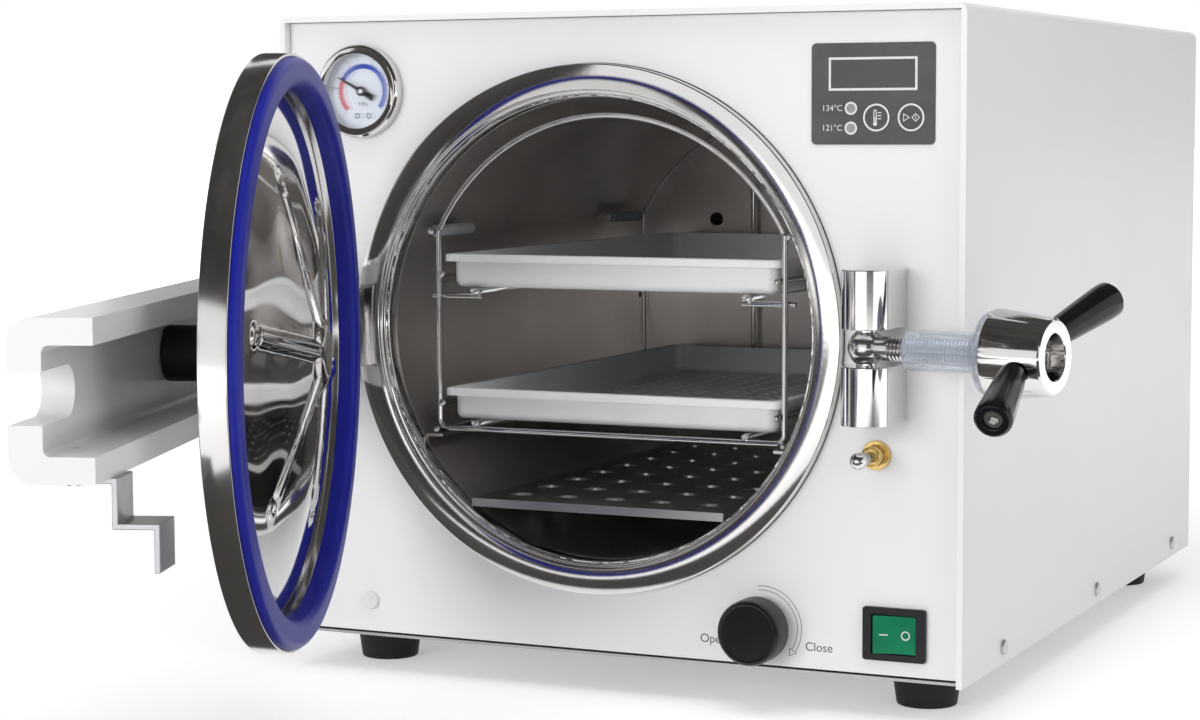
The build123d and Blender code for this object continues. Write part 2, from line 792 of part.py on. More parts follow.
def make_grips():
    """Two tapered grips, each counterbored for its screw."""
    start = hub_radius_at(handle_place) + grip_neck_radius * sin(radians(handle_rake)) + clear_gap
    bore = handle_stud_radius + running_gap
    counterbore = grip_screw_radius + clear_gap
    floor = handle_reach - 8.0
    outline = Polyline(
        (bore, start),
        (grip_neck_radius, start),
        (grip_neck_radius + 0.6, start + 8.0),
        (grip_end_radius, floor),
        (grip_end_radius, handle_reach - 2.0),
        (grip_end_radius - 1.5, handle_reach),
        (counterbore, handle_reach),
        (counterbore, floor),
        (bore, floor),
        close=True,
    )
    grips = []
    for side in (-1, 1):
        across = Plane(origin=handle_point(0.0, side), z_dir=handle_direction(side))
        upright = revolve(make_face(Plane.XZ * outline), Axis.Z)
        grips.append(across * upright)
    return solids_of(*grips)


def make_grip_screws():
    """Hex-socket screws sunk in the ends of the grips."""
    screws = []
    start = handle_reach - 8.0
    for side in (-1, 1):
        head = rod(handle_point(start, side), handle_point(start + 6.0, side), grip_screw_radius)
        socket = Plane(origin=handle_point(start + 3.0, side), z_dir=handle_direction(side))
        screws.append(head - socket * extrude(RegularPolygon(2.6, 6), amount=4.0))
    return solids_of(*screws)


def make_interlock_bush():
    """Brass bush that guides the plunger through the panel, with its nut behind."""
    outline = [
        (plunger_stem_radius + running_gap, -11.0),
        (bush_barrel_r - 0.6, -11.0),
        (bush_barrel_r, -10.4),
        (bush_barrel_r, -2.5),
        (bush_flange_r, -2.5),
        (bush_flange_r, 0),
        (bush_barrel_r, 0),
        (bush_barrel_r, panel_sheet),
        (8.0, panel_sheet),
        (8.0, panel_sheet + 4.0),
        (bush_barrel_r, panel_sheet + 4.0),
        (bush_barrel_r, 12.0),
        (plunger_stem_radius + running_gap, 12.0),
    ]
    return turned(plunger_x, plunger_z, outline)


def make_plunger():
    """Sprung plunger with a ball end and a ribbed stem."""
    reach = plunger_reach()
    stem = bar_y(plunger_x, plunger_z, plunger_stem_radius, (-reach + plunger_ball_radius, 16.0))
    plunger = stem + Pos(plunger_x, -reach + plunger_ball_radius, plunger_z) * Sphere(plunger_ball_radius)
    rib_pitch = 1.6
    rib_start = -reach + 2 * plunger_ball_radius + 0.6
    while rib_start < -11.0 - plunger_travel - 2.0:
        plunger = plunger + bar_y(plunger_x, plunger_z, 3.3, (rib_start, rib_start + 0.8))
        rib_start += rib_pitch
    return plunger


def make_interlock_switch():
    """Switch behind the plunger on its own bracket."""
    face = 16.0 + plunger_travel + clear_gap
    body = centred_block(plunger_x, plunger_z, 16.0, 12.0, (face, face + 20.0))
    arm = centred_block(plunger_x - 9.0, plunger_z, 2.0, 20.0, (panel_sheet, face + 20.0))
    foot = centred_block(plunger_x - 14.0, plunger_z, 10.0, 20.0, (panel_sheet, panel_sheet + 2.0))
    return body + arm + foot


def make_gauge_case():
    """Steel case behind the panel, with a shoulder for the dial."""
    outer = gauge_radius - 2.0 - running_gap
    outline = [
        (0, gauge_depth),
        (outer, gauge_depth),
        (outer, 0),
        (outer - 1.5, 0),
        (outer - 1.5, 2.0),
        (dial_radius - 3.0, 2.0),
        (dial_radius - 3.0, gauge_depth - 2.0),
        (0, gauge_depth - 2.0),
    ]
    stub = bar_y(gauge_x, gauge_z, 5.0, (gauge_depth, gauge_depth + 10.0))
    return turned(gauge_x, gauge_z, outline) + stub


def make_gauge_bezel():
    """Chrome bezel with a lip in front of the glass."""
    outline = [
        (dial_radius + 1.0, 0),
        (gauge_radius, 0),
        (gauge_radius, -gauge_proud + 1.5),
        (gauge_radius - 1.5, -gauge_proud),
        (dial_radius, -gauge_proud),
        (dial_radius, -gauge_proud + 1.4),
        (dial_radius + 1.0, -gauge_proud + 1.4),
    ]
    return turned(gauge_x, gauge_z, outline)


def make_gauge_dial():
    """Round dial plate on the shoulder of the case."""
    radius = gauge_radius - 2.0 - running_gap - 1.5
    dial = bar_y(gauge_x, gauge_z, radius, (1.0, 2.0))
    return dial - bar_y(gauge_x, gauge_z, 1.0 + running_gap, (0, 3.0))


def make_gauge_lens():
    """Flat glass behind the bezel's lip."""
    face = -gauge_proud + 1.4
    return bar_y(gauge_x, gauge_z, dial_radius + 1.0, (face, face + 1.2))


def make_needle():
    """Thin pointer with a broad tail on its spindle."""
    y = (-1.6, -0.8)
    pointer = Polyline((0, 0.9), (needle_length, 0.25), (needle_length, -0.25), (0, -0.9), close=True)
    tail = Polyline((0, 1.1), (-8.0, 1.7), (-8.0, -1.7), (0, -1.1), close=True)
    blade = Pos(0, y[1], 0) * extrude(Plane.XZ * make_face(pointer), amount=y[1] - y[0])
    blade = blade + Pos(0, y[1], 0) * extrude(Plane.XZ * make_face(tail), amount=y[1] - y[0])
    blade = Rot(0, -needle_angle, 0) * blade
    needle = Pos(gauge_x, 0, gauge_z) * blade
    needle = needle + bar_y(gauge_x, gauge_z, 2.6, (y[0] - 0.4, y[1]))
    return needle + bar_y(gauge_x, gauge_z, 1.0, (y[1], 8.0))


def make_overlay():
    """Rounded overlay plate with openings for the display, the lamps and the keys."""
    plate = rounded_plate(overlay_x, overlay_z, overlay_width, overlay_height, 2.5, (-overlay_thickness, 0))
    depth = (-2, 1)
    plate = plate - centred_block(overlay_x, display_z, display_width, display_height, depth)
    for z in lamp_heights:
        plate = plate - bar_y(lamp_x, z, lamp_radius, depth)
    for x, z in key_places.values():
        plate = plate - bar_y(x, z, key_radius + clear_gap / 2, depth)
    return plate


def make_display_window():
    """Smoked window in the overlay."""
    y = (-overlay_thickness + 0.2, panel_sheet)
    return centred_block(overlay_x, display_z, display_width, display_height, y)


def make_display_module():
    """Digit block between the window and the board."""
    y = (panel_sheet, 12.0)
    return centred_block(overlay_x, display_z, display_width - 2, display_height - 1, y)


def make_lamps():
    """Two round indicator lenses."""
    lamps = [bar_y(lamp_x, z, lamp_radius, (-overlay_thickness - 0.2, 5.0)) for z in lamp_heights]
    return solids_of(*lamps)


def make_control_board():
    """Circuit board on four posts behind the overlay, with its key switches and chips."""
    board_y = (12.0, 13.6)
    width = 76.0
    height = 56.0
    board = centred_block(overlay_x, overlay_z, width, height, board_y)
    for side in (-1, 1):
        for end in (-1, 1):
            post_x = overlay_x + side * (width / 2 - 4)
            post_z = overlay_z + end * (height / 2 - 4)
            board = board + bar_y(post_x, post_z, 2.5, (panel_sheet, board_y[0]))
    for x, z in key_places.values():
        board = board + bar_y(x, z, 2.0, (4.0 + key_travel + clear_gap, board_y[0]))
    for z in lamp_heights:
        board = board + bar_y(lamp_x, z, 2.0, (5.0, board_y[0]))
    board = board + centred_block(overlay_x - 14, overlay_z - 4, 14.0, 14.0, (board_y[1], board_y[1] + 3))
    return board + centred_block(overlay_x + 18, overlay_z + 8, 20.0, 12.0, (board_y[1], board_y[1] + 12))


def make_key(x, z):
    """Key cap through the overlay and the panel, kept by a flange behind."""
    cap = bar_y(x, z, key_radius, (-overlay_thickness - 0.3, 4.0))
    flange_front = panel_sheet + clear_gap / 2
    return cap + bar_y(x, z, key_radius + 1.6, (flange_front, flange_front + 1.0))


def make_rocker_frame():
    """Black frame of the mains rocker, open at the front for the rocker."""
    plate = rounded_plate(rocker_x, rocker_height, rocker_frame_width, rocker_frame_height, 1.5, (-3.0, 0))
    body = centred_block(rocker_x, rocker_height, 29.0, 23.0, (0, 24.0))
    well = centred_block(rocker_x, rocker_height, rocker_width + 1.4, rocker_span + 0.8, (-4.0, 14.0))
    frame = plate + body - well
    pivot_z = (rocker_height - rocker_span / 2 - 1.6, rocker_height + rocker_span / 2 + 1.6)
    frame = frame - bar_z(rocker_x, 2.0, 1.5 + running_gap, pivot_z)
    terminals = [centred_block(rocker_x + place, rocker_height, 1.0, 6.0, (24.0, 32.0)) for place in (-8.0, 0.0, 8.0)]
    for terminal in terminals:
        frame = frame + terminal
    return frame


def make_rocker():
    """Two-faced rocker on an upright pivot, tipped to its right-hand side."""
    half = rocker_width / 2
    points = [(-half, -6.0), (0, -4.6), (half, -6.0), (half, -2.5), (half / 2, 3.5), (-half / 2, 3.5), (-half, -2.5)]
    body = extrude(make_face(Polyline(*points, close=True)), amount=rocker_span)
    body = Pos(0, 0, -rocker_span / 2) * body
    pivot_reach = rocker_span / 2 + 1.4
    body = body + bar_z(0, 0, 1.5, (-pivot_reach, pivot_reach))
    return Pos(rocker_x, 2.0, rocker_height) * (Rot(0, 0, rocker_tilt) * body)


def make_exhaust_valve():
    """Brass valve behind the panel with its nut in front."""
    outline = [
        (3.0 + running_gap, -4.0),
        (9.0, -4.0),
        (9.0, 0),
        (6.0, 0),
        (6.0, panel_sheet),
        (11.0, panel_sheet),
        (11.0, 36.0),
        (0, 36.0),
        (0, 24.0),
        (3.0 + running_gap, 24.0),
    ]
    body = turned(release_x, release_z, outline)
    return body + rod((release_x, 20.0, release_z), (release_x + 16.0, 20.0, release_z), 6.0) - bar_y(
        release_x, release_z, 3.0 + running_gap, (-5.0, 24.0)
    )


def make_release_knob():
    """Fluted knob with a raised front disc and its spindle."""
    back = -4.0 - 2 * clear_gap
    knob = bar_y(release_x, release_z, release_radius, (-release_face + 1.5, back))
    knob = knob + bar_y(release_x, release_z, release_radius - 1.2, (-release_face, -release_face + 1.5))
    flute_count = 18
    for index in range(flute_count):
        angle = radians(index * 360 / flute_count)
        x = release_x + (release_radius + 0.9) * cos(angle)
        z = release_z + (release_radius + 0.9) * sin(angle)
        knob = knob - bar_y(x, z, 1.6, (-release_face + 3.0, back + 1))
    return knob + bar_y(release_x, release_z, 3.0, (back, 20.0))


def make_steam_pipe():
    """Copper pipe from the chamber's rear port down and forward to the valve."""
    port = (mouth_x - 73.2, chamber_depth + chamber_wall, mouth_z + 45.7)
    points = [
        port,
        (port[0], pipe_y, port[2]),
        (release_x, pipe_y, port[2]),
        (release_x, pipe_y, release_z),
        (release_x, 36.0, release_z),
    ]
    return swept(points, steam_pipe_radius, 16.0)


def make_gauge_pipe():
    """Thin pipe from the chamber's side port up and forward to the gauge."""
    lane = -inner_half + 18.0
    port = (mouth_x - vessel_radius, chamber_depth - 14, mouth_z - 3.6)
    points = [
        port,
        (lane, port[1], port[2]),
        (lane, port[1], gauge_z),
        (lane, gauge_depth + 40.0, gauge_z),
        (gauge_x, gauge_depth + 40.0, gauge_z),
        (gauge_x, gauge_depth + 10.0, gauge_z),
    ]
    return swept(points, gauge_pipe_radius, 8.0)


def make_drain_nozzle():
    """Drain pipe from the valve to a barbed nozzle through the rear panel."""
    points = [(release_x + 16.0, 20.0, nozzle_z), (nozzle_x, 20.0, nozzle_z), (nozzle_x, rear - 20.0, nozzle_z)]
    pipe = swept(points, steam_pipe_radius, 12.0)
    outline = [
        (0, rear - 20.0),
        (6.0, rear - 20.0),
        (6.0, rear),
        (9.0, rear),
        (9.0, rear + 4.0),
        (4.5, rear + 4.0),
        (5.5, rear + 8.0),
        (4.2, rear + 12.0),
        (5.2, rear + 12.0),
        (4.0, rear + 18.0),
        (2.5, rear + 18.0),
        (2.5, rear + 2.0),
        (0, rear + 2.0),
    ]
    return pipe + turned(nozzle_x, nozzle_z, outline)


def make_safety_valve():
    """Spring-loaded safety valve from the chamber's rear wall out through the rear panel."""
    outline = [
        (0, chamber_depth + chamber_wall),
        (7.0, chamber_depth + chamber_wall),
        (7.0, rear),
        (11.0, rear),
        (11.0, rear + 8.0),
        (8.5, rear + 8.0),
        (8.5, rear + 20.0),
        (7.0, rear + 22.0),
        (2.0 + running_gap, rear + 22.0),
        (2.0 + running_gap, rear + 8.0),
        (0, rear + 8.0),
    ]
    return turned(safety_x, safety_z, outline)


def make_safety_pull():
    """Stem and ring that lift the safety valve by hand."""
    ring_radius_pull = 8.0
    stem_end = rear + 27.0
    stem = bar_y(safety_x, safety_z, 2.0, (rear + 9.0, stem_end))
    ring = Pos(safety_x, stem_end + ring_radius_pull - 1.0, safety_z) * Torus(ring_radius_pull, 1.2)
    return stem + ring


def make_power_inlet():
    """Three-pin mains inlet with a flange on the rear panel."""
    body = centred_block(inlet_x, inlet_z, 27.6, 20.2, (rear - 24.0, rear))
    flange = rounded_plate(inlet_x, inlet_z, 48.0, 23.0, 4.0, (rear, rear + 3.0))
    well = rounded_plate(inlet_x, inlet_z, 24.4, 17.0, 2.5, (rear - 14.0, rear + 4.0))
    inlet = body + flange - well
    for x, z in ((-7.0, -2.0), (0.0, 2.0), (7.0, -2.0)):
        inlet = inlet + centred_block(inlet_x + x, inlet_z + z, 2.0, 4.0, (rear - 15.0, rear - 1.0))
    for side in (-1, 1):
        screw_x = inlet_x + side * 19.0
        inlet = inlet + bar_y(screw_x, inlet_z, 3.0, (rear + 3.0, rear + 4.5))
    return inlet


def make_fuse_holders():
    """Two fuse holders with screw caps."""
    holders = []
    for z in fuse_heights:
        body = bar_y(fuse_x, z, 5.5, (rear - 26.0, rear))
        cap = bar_y(fuse_x, z, 7.5, (rear, rear + 8.0))
        slot = centred_block(fuse_x, z, 9.0, 1.4, (rear + 7.0, rear + 9.0))
        holders.append(body + cap - slot)
    return solids_of(*holders)


def make_feet():
    """Four tapered rubber feet."""
    feet = []
    places_y = (front_foot_y, rear - rear_foot_inset)
    for x in (-half_width + foot_side_inset, half_width - foot_side_inset):
        for y in places_y:
            foot = Pos(x, y, 0) * Cone(
                foot_bottom_radius, foot_top_radius, foot_height, align=(Align.CENTER, Align.CENTER, Align.MIN)
            )
            feet.append(fillet(foot.edges().sort_by(Axis.Z)[0], 1.2))
    return solids_of(*feet)


def make_case_screws():
    """Pan-head screws that hold the shell's sides to the base plate."""
    screws = []
    for side in (-1, 1):
        for y in case_screw_places:
            inner = (side * (inner_half - 6.0), y, case_screw_height)
            face = (side * half_width, y, case_screw_height)
            outer = (side * (half_width + screw_head_height), y, case_screw_height)
            head = rod(face, outer, screw_head_radius)
            head = fillet(head.edges().filter_by(GeomType.CIRCLE).sort_by(Axis.X)[-1 if side > 0 else 0], 1.0)
            screws.append(rod(inner, face, screw_radius) + head)
    return solids_of(*screws)


def make_plug():
    """Pale plug in the front panel."""
    head = bar_y(plug_x, plug_z, 5.0, (-2.5, 0))
    head = fillet(head.edges().filter_by(GeomType.CIRCLE).sort_by(Axis.Y)[0], 1.2)
    return head + bar_y(plug_x, plug_z, 3.0, (0, 6.0))


def rack_hoop(y):
    """One upright hoop of the rack: a bent wire with two legs, and an arch on top of them."""
    left = mouth_x - leg_offset
    right = mouth_x + leg_offset
    points = [(left, y, shoulder_z), (left, y, rack_floor), (right, y, rack_floor), (right, y, shoulder_z)]
    legs = swept(points, wire_radius, 5.0)
    for x in (left, right):
        legs = legs + Pos(x, y, shoulder_z) * Sphere(wire_cap_radius)
    start = asin(rack_shoulder_rise / arch_radius) + (wire_cap_radius + wire_gap) / arch_radius
    end_z = mouth_z + arch_radius * sin(start)
    ends = [(mouth_x + side * arch_radius * cos(start), y, end_z) for side in (-1, 1)]
    arch = ThreePointArc(ends[0], (mouth_x, y, mouth_z + arch_radius), ends[1])
    section = Plane(origin=arch @ 0, z_dir=arch % 0) * Circle(wire_radius)
    return [legs, sweep(section, path=arch)]


def rack_rod(x, z, end, ball_drop):
    """A long wire of the rack with a small ball melted on its front end."""
    front_end = rack_front - wire_overhang
    return bar_y(x, z, wire_radius, (front_end, end)) + Pos(x, front_end, z - ball_drop) * Sphere(wire_ball_radius)


def make_rack():
    """Spot-welded wire rack: two hoops, long rods, shoulder stubs, cross stubs and rear stops."""
    wires = rack_hoop(rack_front) + rack_hoop(rack_rear)
    rod_end = rack_rear + wire_overhang
    cross_front = rack_end - wire_radius - wire_gap
    under_tray = wire_ball_radius - wire_radius + wire_gap
    rods = [
        (floor_rod_offset, floor_rod_z, cross_front, under_tray),
        (floor_rod_offset, upper_rod_z, rod_end, under_tray),
        (side_rod_offset, upper_tray_floor + 7.0, rod_end, 0.0),
        (side_rod_offset, lower_tray_floor + 9.0, rod_end, 0.0),
        (shoulder_rod_offset, shoulder_z, rack_front + shoulder_stub_length, 0.0),
        (leg_offset + corner_rod_shift, rack_floor - corner_rod_shift, rod_end, 0.0),
    ]
    stub_z = upper_rod_z - wire_pitch
    for side in (-1, 1):
        for offset, z, end, ball_drop in rods:
            wires.append(rack_rod(mouth_x + side * offset, z, end, ball_drop))
        rear_stub = (rack_rear - shoulder_stub_length, rod_end)
        wires.append(bar_y(mouth_x + side * shoulder_rod_offset, shoulder_z, wire_radius, rear_stub))
        for y in (rack_front + wire_pitch, rack_rear - wire_pitch):
            start = (mouth_x + side * (floor_rod_offset - 3.0), y, stub_z)
            wires.append(rod(start, (mouth_x + side * (leg_offset + 5.0), y, stub_z), wire_radius))
        stop_foot = floor_rod_z + wire_radius + wire_gap
        wires.append(bar_z(mouth_x + side * 45.0, rack_end, wire_radius, (stop_foot, mouth_z + 70.0)))
    ends = [(mouth_x + side * (floor_rod_offset + 2), rack_end, floor_rod_z) for side in (-1, 1)]
    wires.append(rod(ends[0], ends[1], wire_radius))
    return solids_of(*wires)


def make_rack_sleeves():
    """Grey plastic sleeves on the rack's shoulder stubs."""
    sleeves = []
    for side in (-1, 1):
        x = mouth_x + side * shoulder_rod_offset
        outside = chamber_radius - sqrt((x - mouth_x) ** 2 + rack_shoulder_rise**2) - 2 * clear_gap
        radius = min(3.2, outside)
        for start in (rack_front + 2.5, rack_rear - 2.5 - sleeve_length):
            sleeves.append(tube_y(x, shoulder_z, radius, wire_radius, (start, start + sleeve_length)))
    return solids_of(*sleeves)


def make_tray(top_z, floor_z, perforated):
    """Pressed tray with a rolled rim and rounded corners."""
    centre_y = (tray_front + tray_rear) / 2
    height = top_z - floor_z
    outside = extrude(RectangleRounded(2 * tray_half, tray_length - 2 * tray_rim, tray_corner), amount=height)
    outside = fillet(outside.edges().group_by(Axis.Z)[0], 4.0)
    inside_width = 2 * tray_half - 2 * tray_wall
    inside_length = tray_length - 2 * tray_rim - 2 * tray_wall
    inside = extrude(RectangleRounded(inside_width, inside_length, tray_corner - tray_wall), amount=height)
    inside = fillet(inside.edges().group_by(Axis.Z)[0], 4.0 - tray_wall)
    rim = extrude(RectangleRounded(2 * rim_half, tray_length, tray_rim_corner), amount=tray_rim_height)
    rim = fillet(rim.edges().group_by(Axis.Z)[-1], 1.2)
    tray = outside + Pos(0, 0, height - tray_rim_height) * rim - Pos(0, 0, tray_wall) * inside
    if perforated:
        columns = int((inside_width - 24.0) / hole_pitch)
        rows = int((inside_length - 24.0) / hole_pitch)
        punches = GridLocations(hole_pitch, hole_pitch, columns, rows) * Circle(hole_radius)
        tray = tray - extrude(Sketch(children=punches), amount=tray_wall + 2)
    return Pos(mouth_x, centre_y, floor_z) * tray


def make_shelf_plate():
    """Perforated plate with folded edges that rests across the chamber."""
    half_length = shelf_length / 2
    sheet = Rectangle(2 * shelf_half, shelf_length)
    for row in range(shelf_hole_rows):
        y = -half_length + shelf_hole_front + row * shelf_hole_along
        for column in range(shelf_hole_columns):
            x = (column - (shelf_hole_columns - 1) / 2) * shelf_hole_across
            sheet = sheet - Pos(x, y) * Circle(shelf_hole_radius)
    plate = extrude(sheet, amount=-shelf_sheet)
    for side in (-1, 1):
        edge = (side * shelf_half, side * (shelf_half - shelf_sheet))
        plate = plate + block((min(edge), max(edge)), (-half_length, half_length), (-shelf_edge, 0))
        fold = (side * half_length, side * (half_length - shelf_sheet))
        plate = plate + block((-shelf_half, shelf_half), (min(fold), max(fold)), (-shelf_edge, 0))
    return Pos(mouth_x, half_length + 1.0, shelf_top) * plate


def swung(shape, x, y, angle):
    """A piece turned about an upright axis."""
    return Pos(x, y, 0) * Rot(0, 0, angle) * Pos(-x, -y, 0) * shape


def door_piece(shape):
    """A door piece swung from closed to its resting angle."""
    return swung(shape, hinge_x, hinge_y, -door_open_angle)


def bolt_piece(shape):
    """A piece on the swing bolt turned from closed to its resting angle."""
    return swung(shape, latch_x, latch_y, bolt_open_angle)


cabinet = {
    "outer_shell": make_outer_shell(),
    "front_panel": make_front_panel(),
    "base_plate": make_base_plate(),
    "rear_panel": make_rear_panel(),
    "chamber": make_chamber(),
    "mouth_ring": make_mouth_ring(),
    "insulation_jacket": make_jacket(),
    "heater_band": make_heater(),
    "chamber_saddles": make_saddles(),
    "latch_bracket": make_latch_bracket(),
    "latch_pin": make_latch_pin(),
    "hinge_bracket": make_hinge_bracket(),
    "hinge_pin": make_hinge_pin(),
    "interlock_bush": make_interlock_bush(),
    "interlock_plunger": make_plunger(),
    "interlock_switch": make_interlock_switch(),
    "gauge_case": make_gauge_case(),
    "gauge_bezel": make_gauge_bezel(),
    "gauge_dial": make_gauge_dial(),
    "gauge_lens": make_gauge_lens(),
    "gauge_needle": make_needle(),
    "control_overlay": make_overlay(),
    "display_window": make_display_window(),
    "display_module": make_display_module(),
    "indicator_lenses": make_lamps(),
    "control_board": make_control_board(),
    "rocker_frame": make_rocker_frame(),
    "rocker": make_rocker(),
    "exhaust_valve": make_exhaust_valve(),
    "release_knob": make_release_knob(),
    "steam_pipe": make_steam_pipe(),
    "gauge_pipe": make_gauge_pipe(),
    "drain_nozzle": make_drain_nozzle(),
    "safety_valve": make_safety_valve(),
    "safety_pull": make_safety_pull(),
    "power_inlet": make_power_inlet(),
    "fuse_holders": make_fuse_holders(),
    "feet": make_feet(),
    "case_screws": make_case_screws(),
    "panel_plug": make_plug(),
    "tray_rack": make_rack(),
    "rack_sleeves": make_rack_sleeves(),
    "upper_tray": make_tray(upper_tray_top, upper_tray_floor, False),
    "lower_tray": make_tray(lower_tray_top, lower_tray_floor, True),
    "shelf_plate": make_shelf_plate(),
}
for key_name, (key_x, key_z) in key_places.items():
    cabinet[key_name] = make_key(key_x, key_z)

door = {
    "door_beam": make_door_beam(),
    "lid_rim": make_lid_rim(),
    "lid_pan": make_lid_pan(),
    "lid_gasket": make_gasket(),
    "lid_hub": make_lid_hub(),
    "striker": make_striker(),
    "door_fasteners": solids_of(make_lid_stud(), make_striker_screw()),
}

clamp = {
    "swing_bolt": make_swing_bolt(),
    "thrust_bush": make_thrust_bush(),
    "clamp_hub": make_clamp_hub(),
    "handle_studs": make_handle_studs(),
    "grips": make_grips(),
    "grip_screws": make_grip_screws(),
}

pieces = dict(cabinet)
for name, shape in door.items():
    pieces[name] = door_piece(shape)
for name, shape in clamp.items():
    pieces[name] = bolt_piece(shape)

outline_box = Compound(children=[solid for shape in pieces.values() for solid in shape.solids()]).bounding_box()
origin_x = round((outline_box.min.X + outline_box.max.X) / 2, 1)
origin_y = round((outline_box.min.Y + outline_box.max.Y) / 2, 1)

os.makedirs("parts", exist_ok=True)
for name, shape in pieces.items():
    placed = Pos(-origin_x, -origin_y, 0) * solids_of(shape)
    export_step(placed, f"parts/{name}.step")
print("nodes", len(pieces), "origin shift", round(origin_x, 3), round(origin_y, 3))
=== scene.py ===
"""A bench-top autoclave with its round lid swung open: shapes, finishes, lights and camera."""

import json
from math import cos, pi, radians, sin, sqrt

import bmesh
import bpy
from mathutils import Matrix, Vector
from mathutils.noise import hetero_terrain
from mathutils.noise import noise as noise_height


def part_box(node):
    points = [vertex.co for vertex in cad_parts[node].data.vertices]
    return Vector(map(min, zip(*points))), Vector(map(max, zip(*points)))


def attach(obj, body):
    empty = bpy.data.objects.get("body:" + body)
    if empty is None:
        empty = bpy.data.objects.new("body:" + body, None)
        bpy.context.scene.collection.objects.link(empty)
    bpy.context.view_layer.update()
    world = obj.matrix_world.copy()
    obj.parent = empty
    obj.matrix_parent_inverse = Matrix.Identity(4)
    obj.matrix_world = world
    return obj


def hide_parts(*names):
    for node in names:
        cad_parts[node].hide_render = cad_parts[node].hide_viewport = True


bl_info = {
    "name": "Bench autoclave",
    "version": (1, 0, 0),
    "blender": (4, 5, 0),
    "location": "View3D > Sidebar > Autoclave",
    "description": "Builds a bench-top autoclave with its lid open, and the studio round it",
    "category": "Object",
}

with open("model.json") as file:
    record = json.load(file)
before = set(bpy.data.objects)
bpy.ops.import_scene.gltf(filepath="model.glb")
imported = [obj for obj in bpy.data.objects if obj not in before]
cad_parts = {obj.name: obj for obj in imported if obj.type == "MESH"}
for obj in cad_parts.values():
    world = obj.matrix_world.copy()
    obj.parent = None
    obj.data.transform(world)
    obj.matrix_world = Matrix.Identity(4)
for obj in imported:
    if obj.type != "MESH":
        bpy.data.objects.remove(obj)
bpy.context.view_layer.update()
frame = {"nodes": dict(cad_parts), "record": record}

MM = 0.001
CLOSE_GAP = 0.00002
MERGE_GAP = 1e-6
SHARP_ANGLE = radians(30)
TURN_STEPS = 192

# Sections of the mouth ring and the lid, as the frame's solids have them
RING_WIDTH = 13.7 * MM
RING_STEP = 2 * MM
RING_STEP_FRONT = 3.4 * MM
RING_STEP_BACK = 5.4 * MM
CHAMBER_WALL = 2 * MM
SHUT_GAP = 0.3 * MM
GASKET_PROUD = 4.3 * MM
GASKET_WIDTH = 14.2 * MM
GASKET_NOSE = 4 * MM
GROOVE_DEPTH = 5 * MM
RIM_THICKNESS = 13 * MM
PAN_SETBACK = 2.3 * MM
PAN_DEPTH = 22 * MM
PAN_LEAN = 0.75
PAN_FLAT = 15 * MM
PAN_BOSS = 17 * MM
PAN_SHEET = 1.2 * MM
RIB_COUNT = 6
RIB_START_ANGLE = 10.0
RIB_REACH = 87 * MM
THREAD_PITCH = 2 * MM
THREAD_START = 14 * MM

# Materials by a short name, filled by the first step
finishes = {}


def box_of(node):
    """The lowest and highest corner of a frame node."""
    low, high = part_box(node)
    return Vector(low), Vector(high)


def middle_of(node):
    """The middle of a frame node's box."""
    low, high = box_of(node)
    return (low + high) / 2


def joint_named(name):
    """A joint of the frame by its name."""
    return next(joint for joint in frame["record"]["behaviour"]["joints"] if joint["name"] == name)


panel_low, panel_high = box_of("front_panel")
panel_face = panel_low.y
mouth = middle_of("mouth_ring")
mouth.y = panel_face
ring_low, ring_high = box_of("mouth_ring")
ring_radius = (ring_high.z - ring_low.z) / 2
overlay_face = box_of("control_overlay")[0].y


def turned_about(pivot, axis, degrees_turned):
    """The matrix that turns about an axis through a point."""
    there = Matrix.Translation(Vector(pivot))
    return there @ Matrix.Rotation(radians(degrees_turned), 4, Vector(axis)) @ there.inverted()


def swing_from_shut(joint_name):
    """The matrix from a body's shut place to its place at rest."""
    joint = joint_named(joint_name)
    return turned_about(joint["pos_m"], joint["axis"], -joint["range_deg"][0])


door_swing = swing_from_shut("door_hinge")


# Mesh building


def linked(name, data):
    """A new object in the scene."""
    piece = bpy.data.objects.new(name, data)
    bpy.context.scene.collection.objects.link(piece)
    return piece


def object_from(bm, name, smooth_angle=35.0):
    """A linked object from a bmesh, smooth except along its sharp edges."""
    mesh = bpy.data.meshes.new(name)
    bm.to_mesh(mesh)
    bm.free()
    mesh.shade_smooth()
    mesh.set_sharp_from_angle(angle=radians(smooth_angle))
    return linked(name, mesh)


def settle(piece, body, material, replaced=()):
    """Gives a piece its material and the body it rides on, and hides the frame nodes it stands for."""
    piece.data.materials.clear()
    piece.data.materials.append(material)
    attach(piece, body)
    if replaced:
        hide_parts(*replaced)


def bevel_sharp(bm, width):
    """Rounds each edge whose two faces meet at a sharp angle."""
    bm.normal_update()
    sharp = [edge for edge in bm.edges if edge.is_manifold and edge.calc_face_angle(0.0) > SHARP_ANGLE]
    bmesh.ops.bevel(bm, geom=sharp, offset=width, offset_type="OFFSET", segments=3, profile=0.5,
                    affect="EDGES", clamp_overlap=True, material=-1)


def chain(bm, points, closed):
    """Vertices joined by edges along some points."""
    verts = [bm.verts.new(point) for point in points]
    pairs = list(zip(verts, verts[1:]))
    if closed:
        pairs.append((verts[-1], verts[0]))
    edges = [bm.edges.new(pair) for pair in pairs]
    return verts, edges


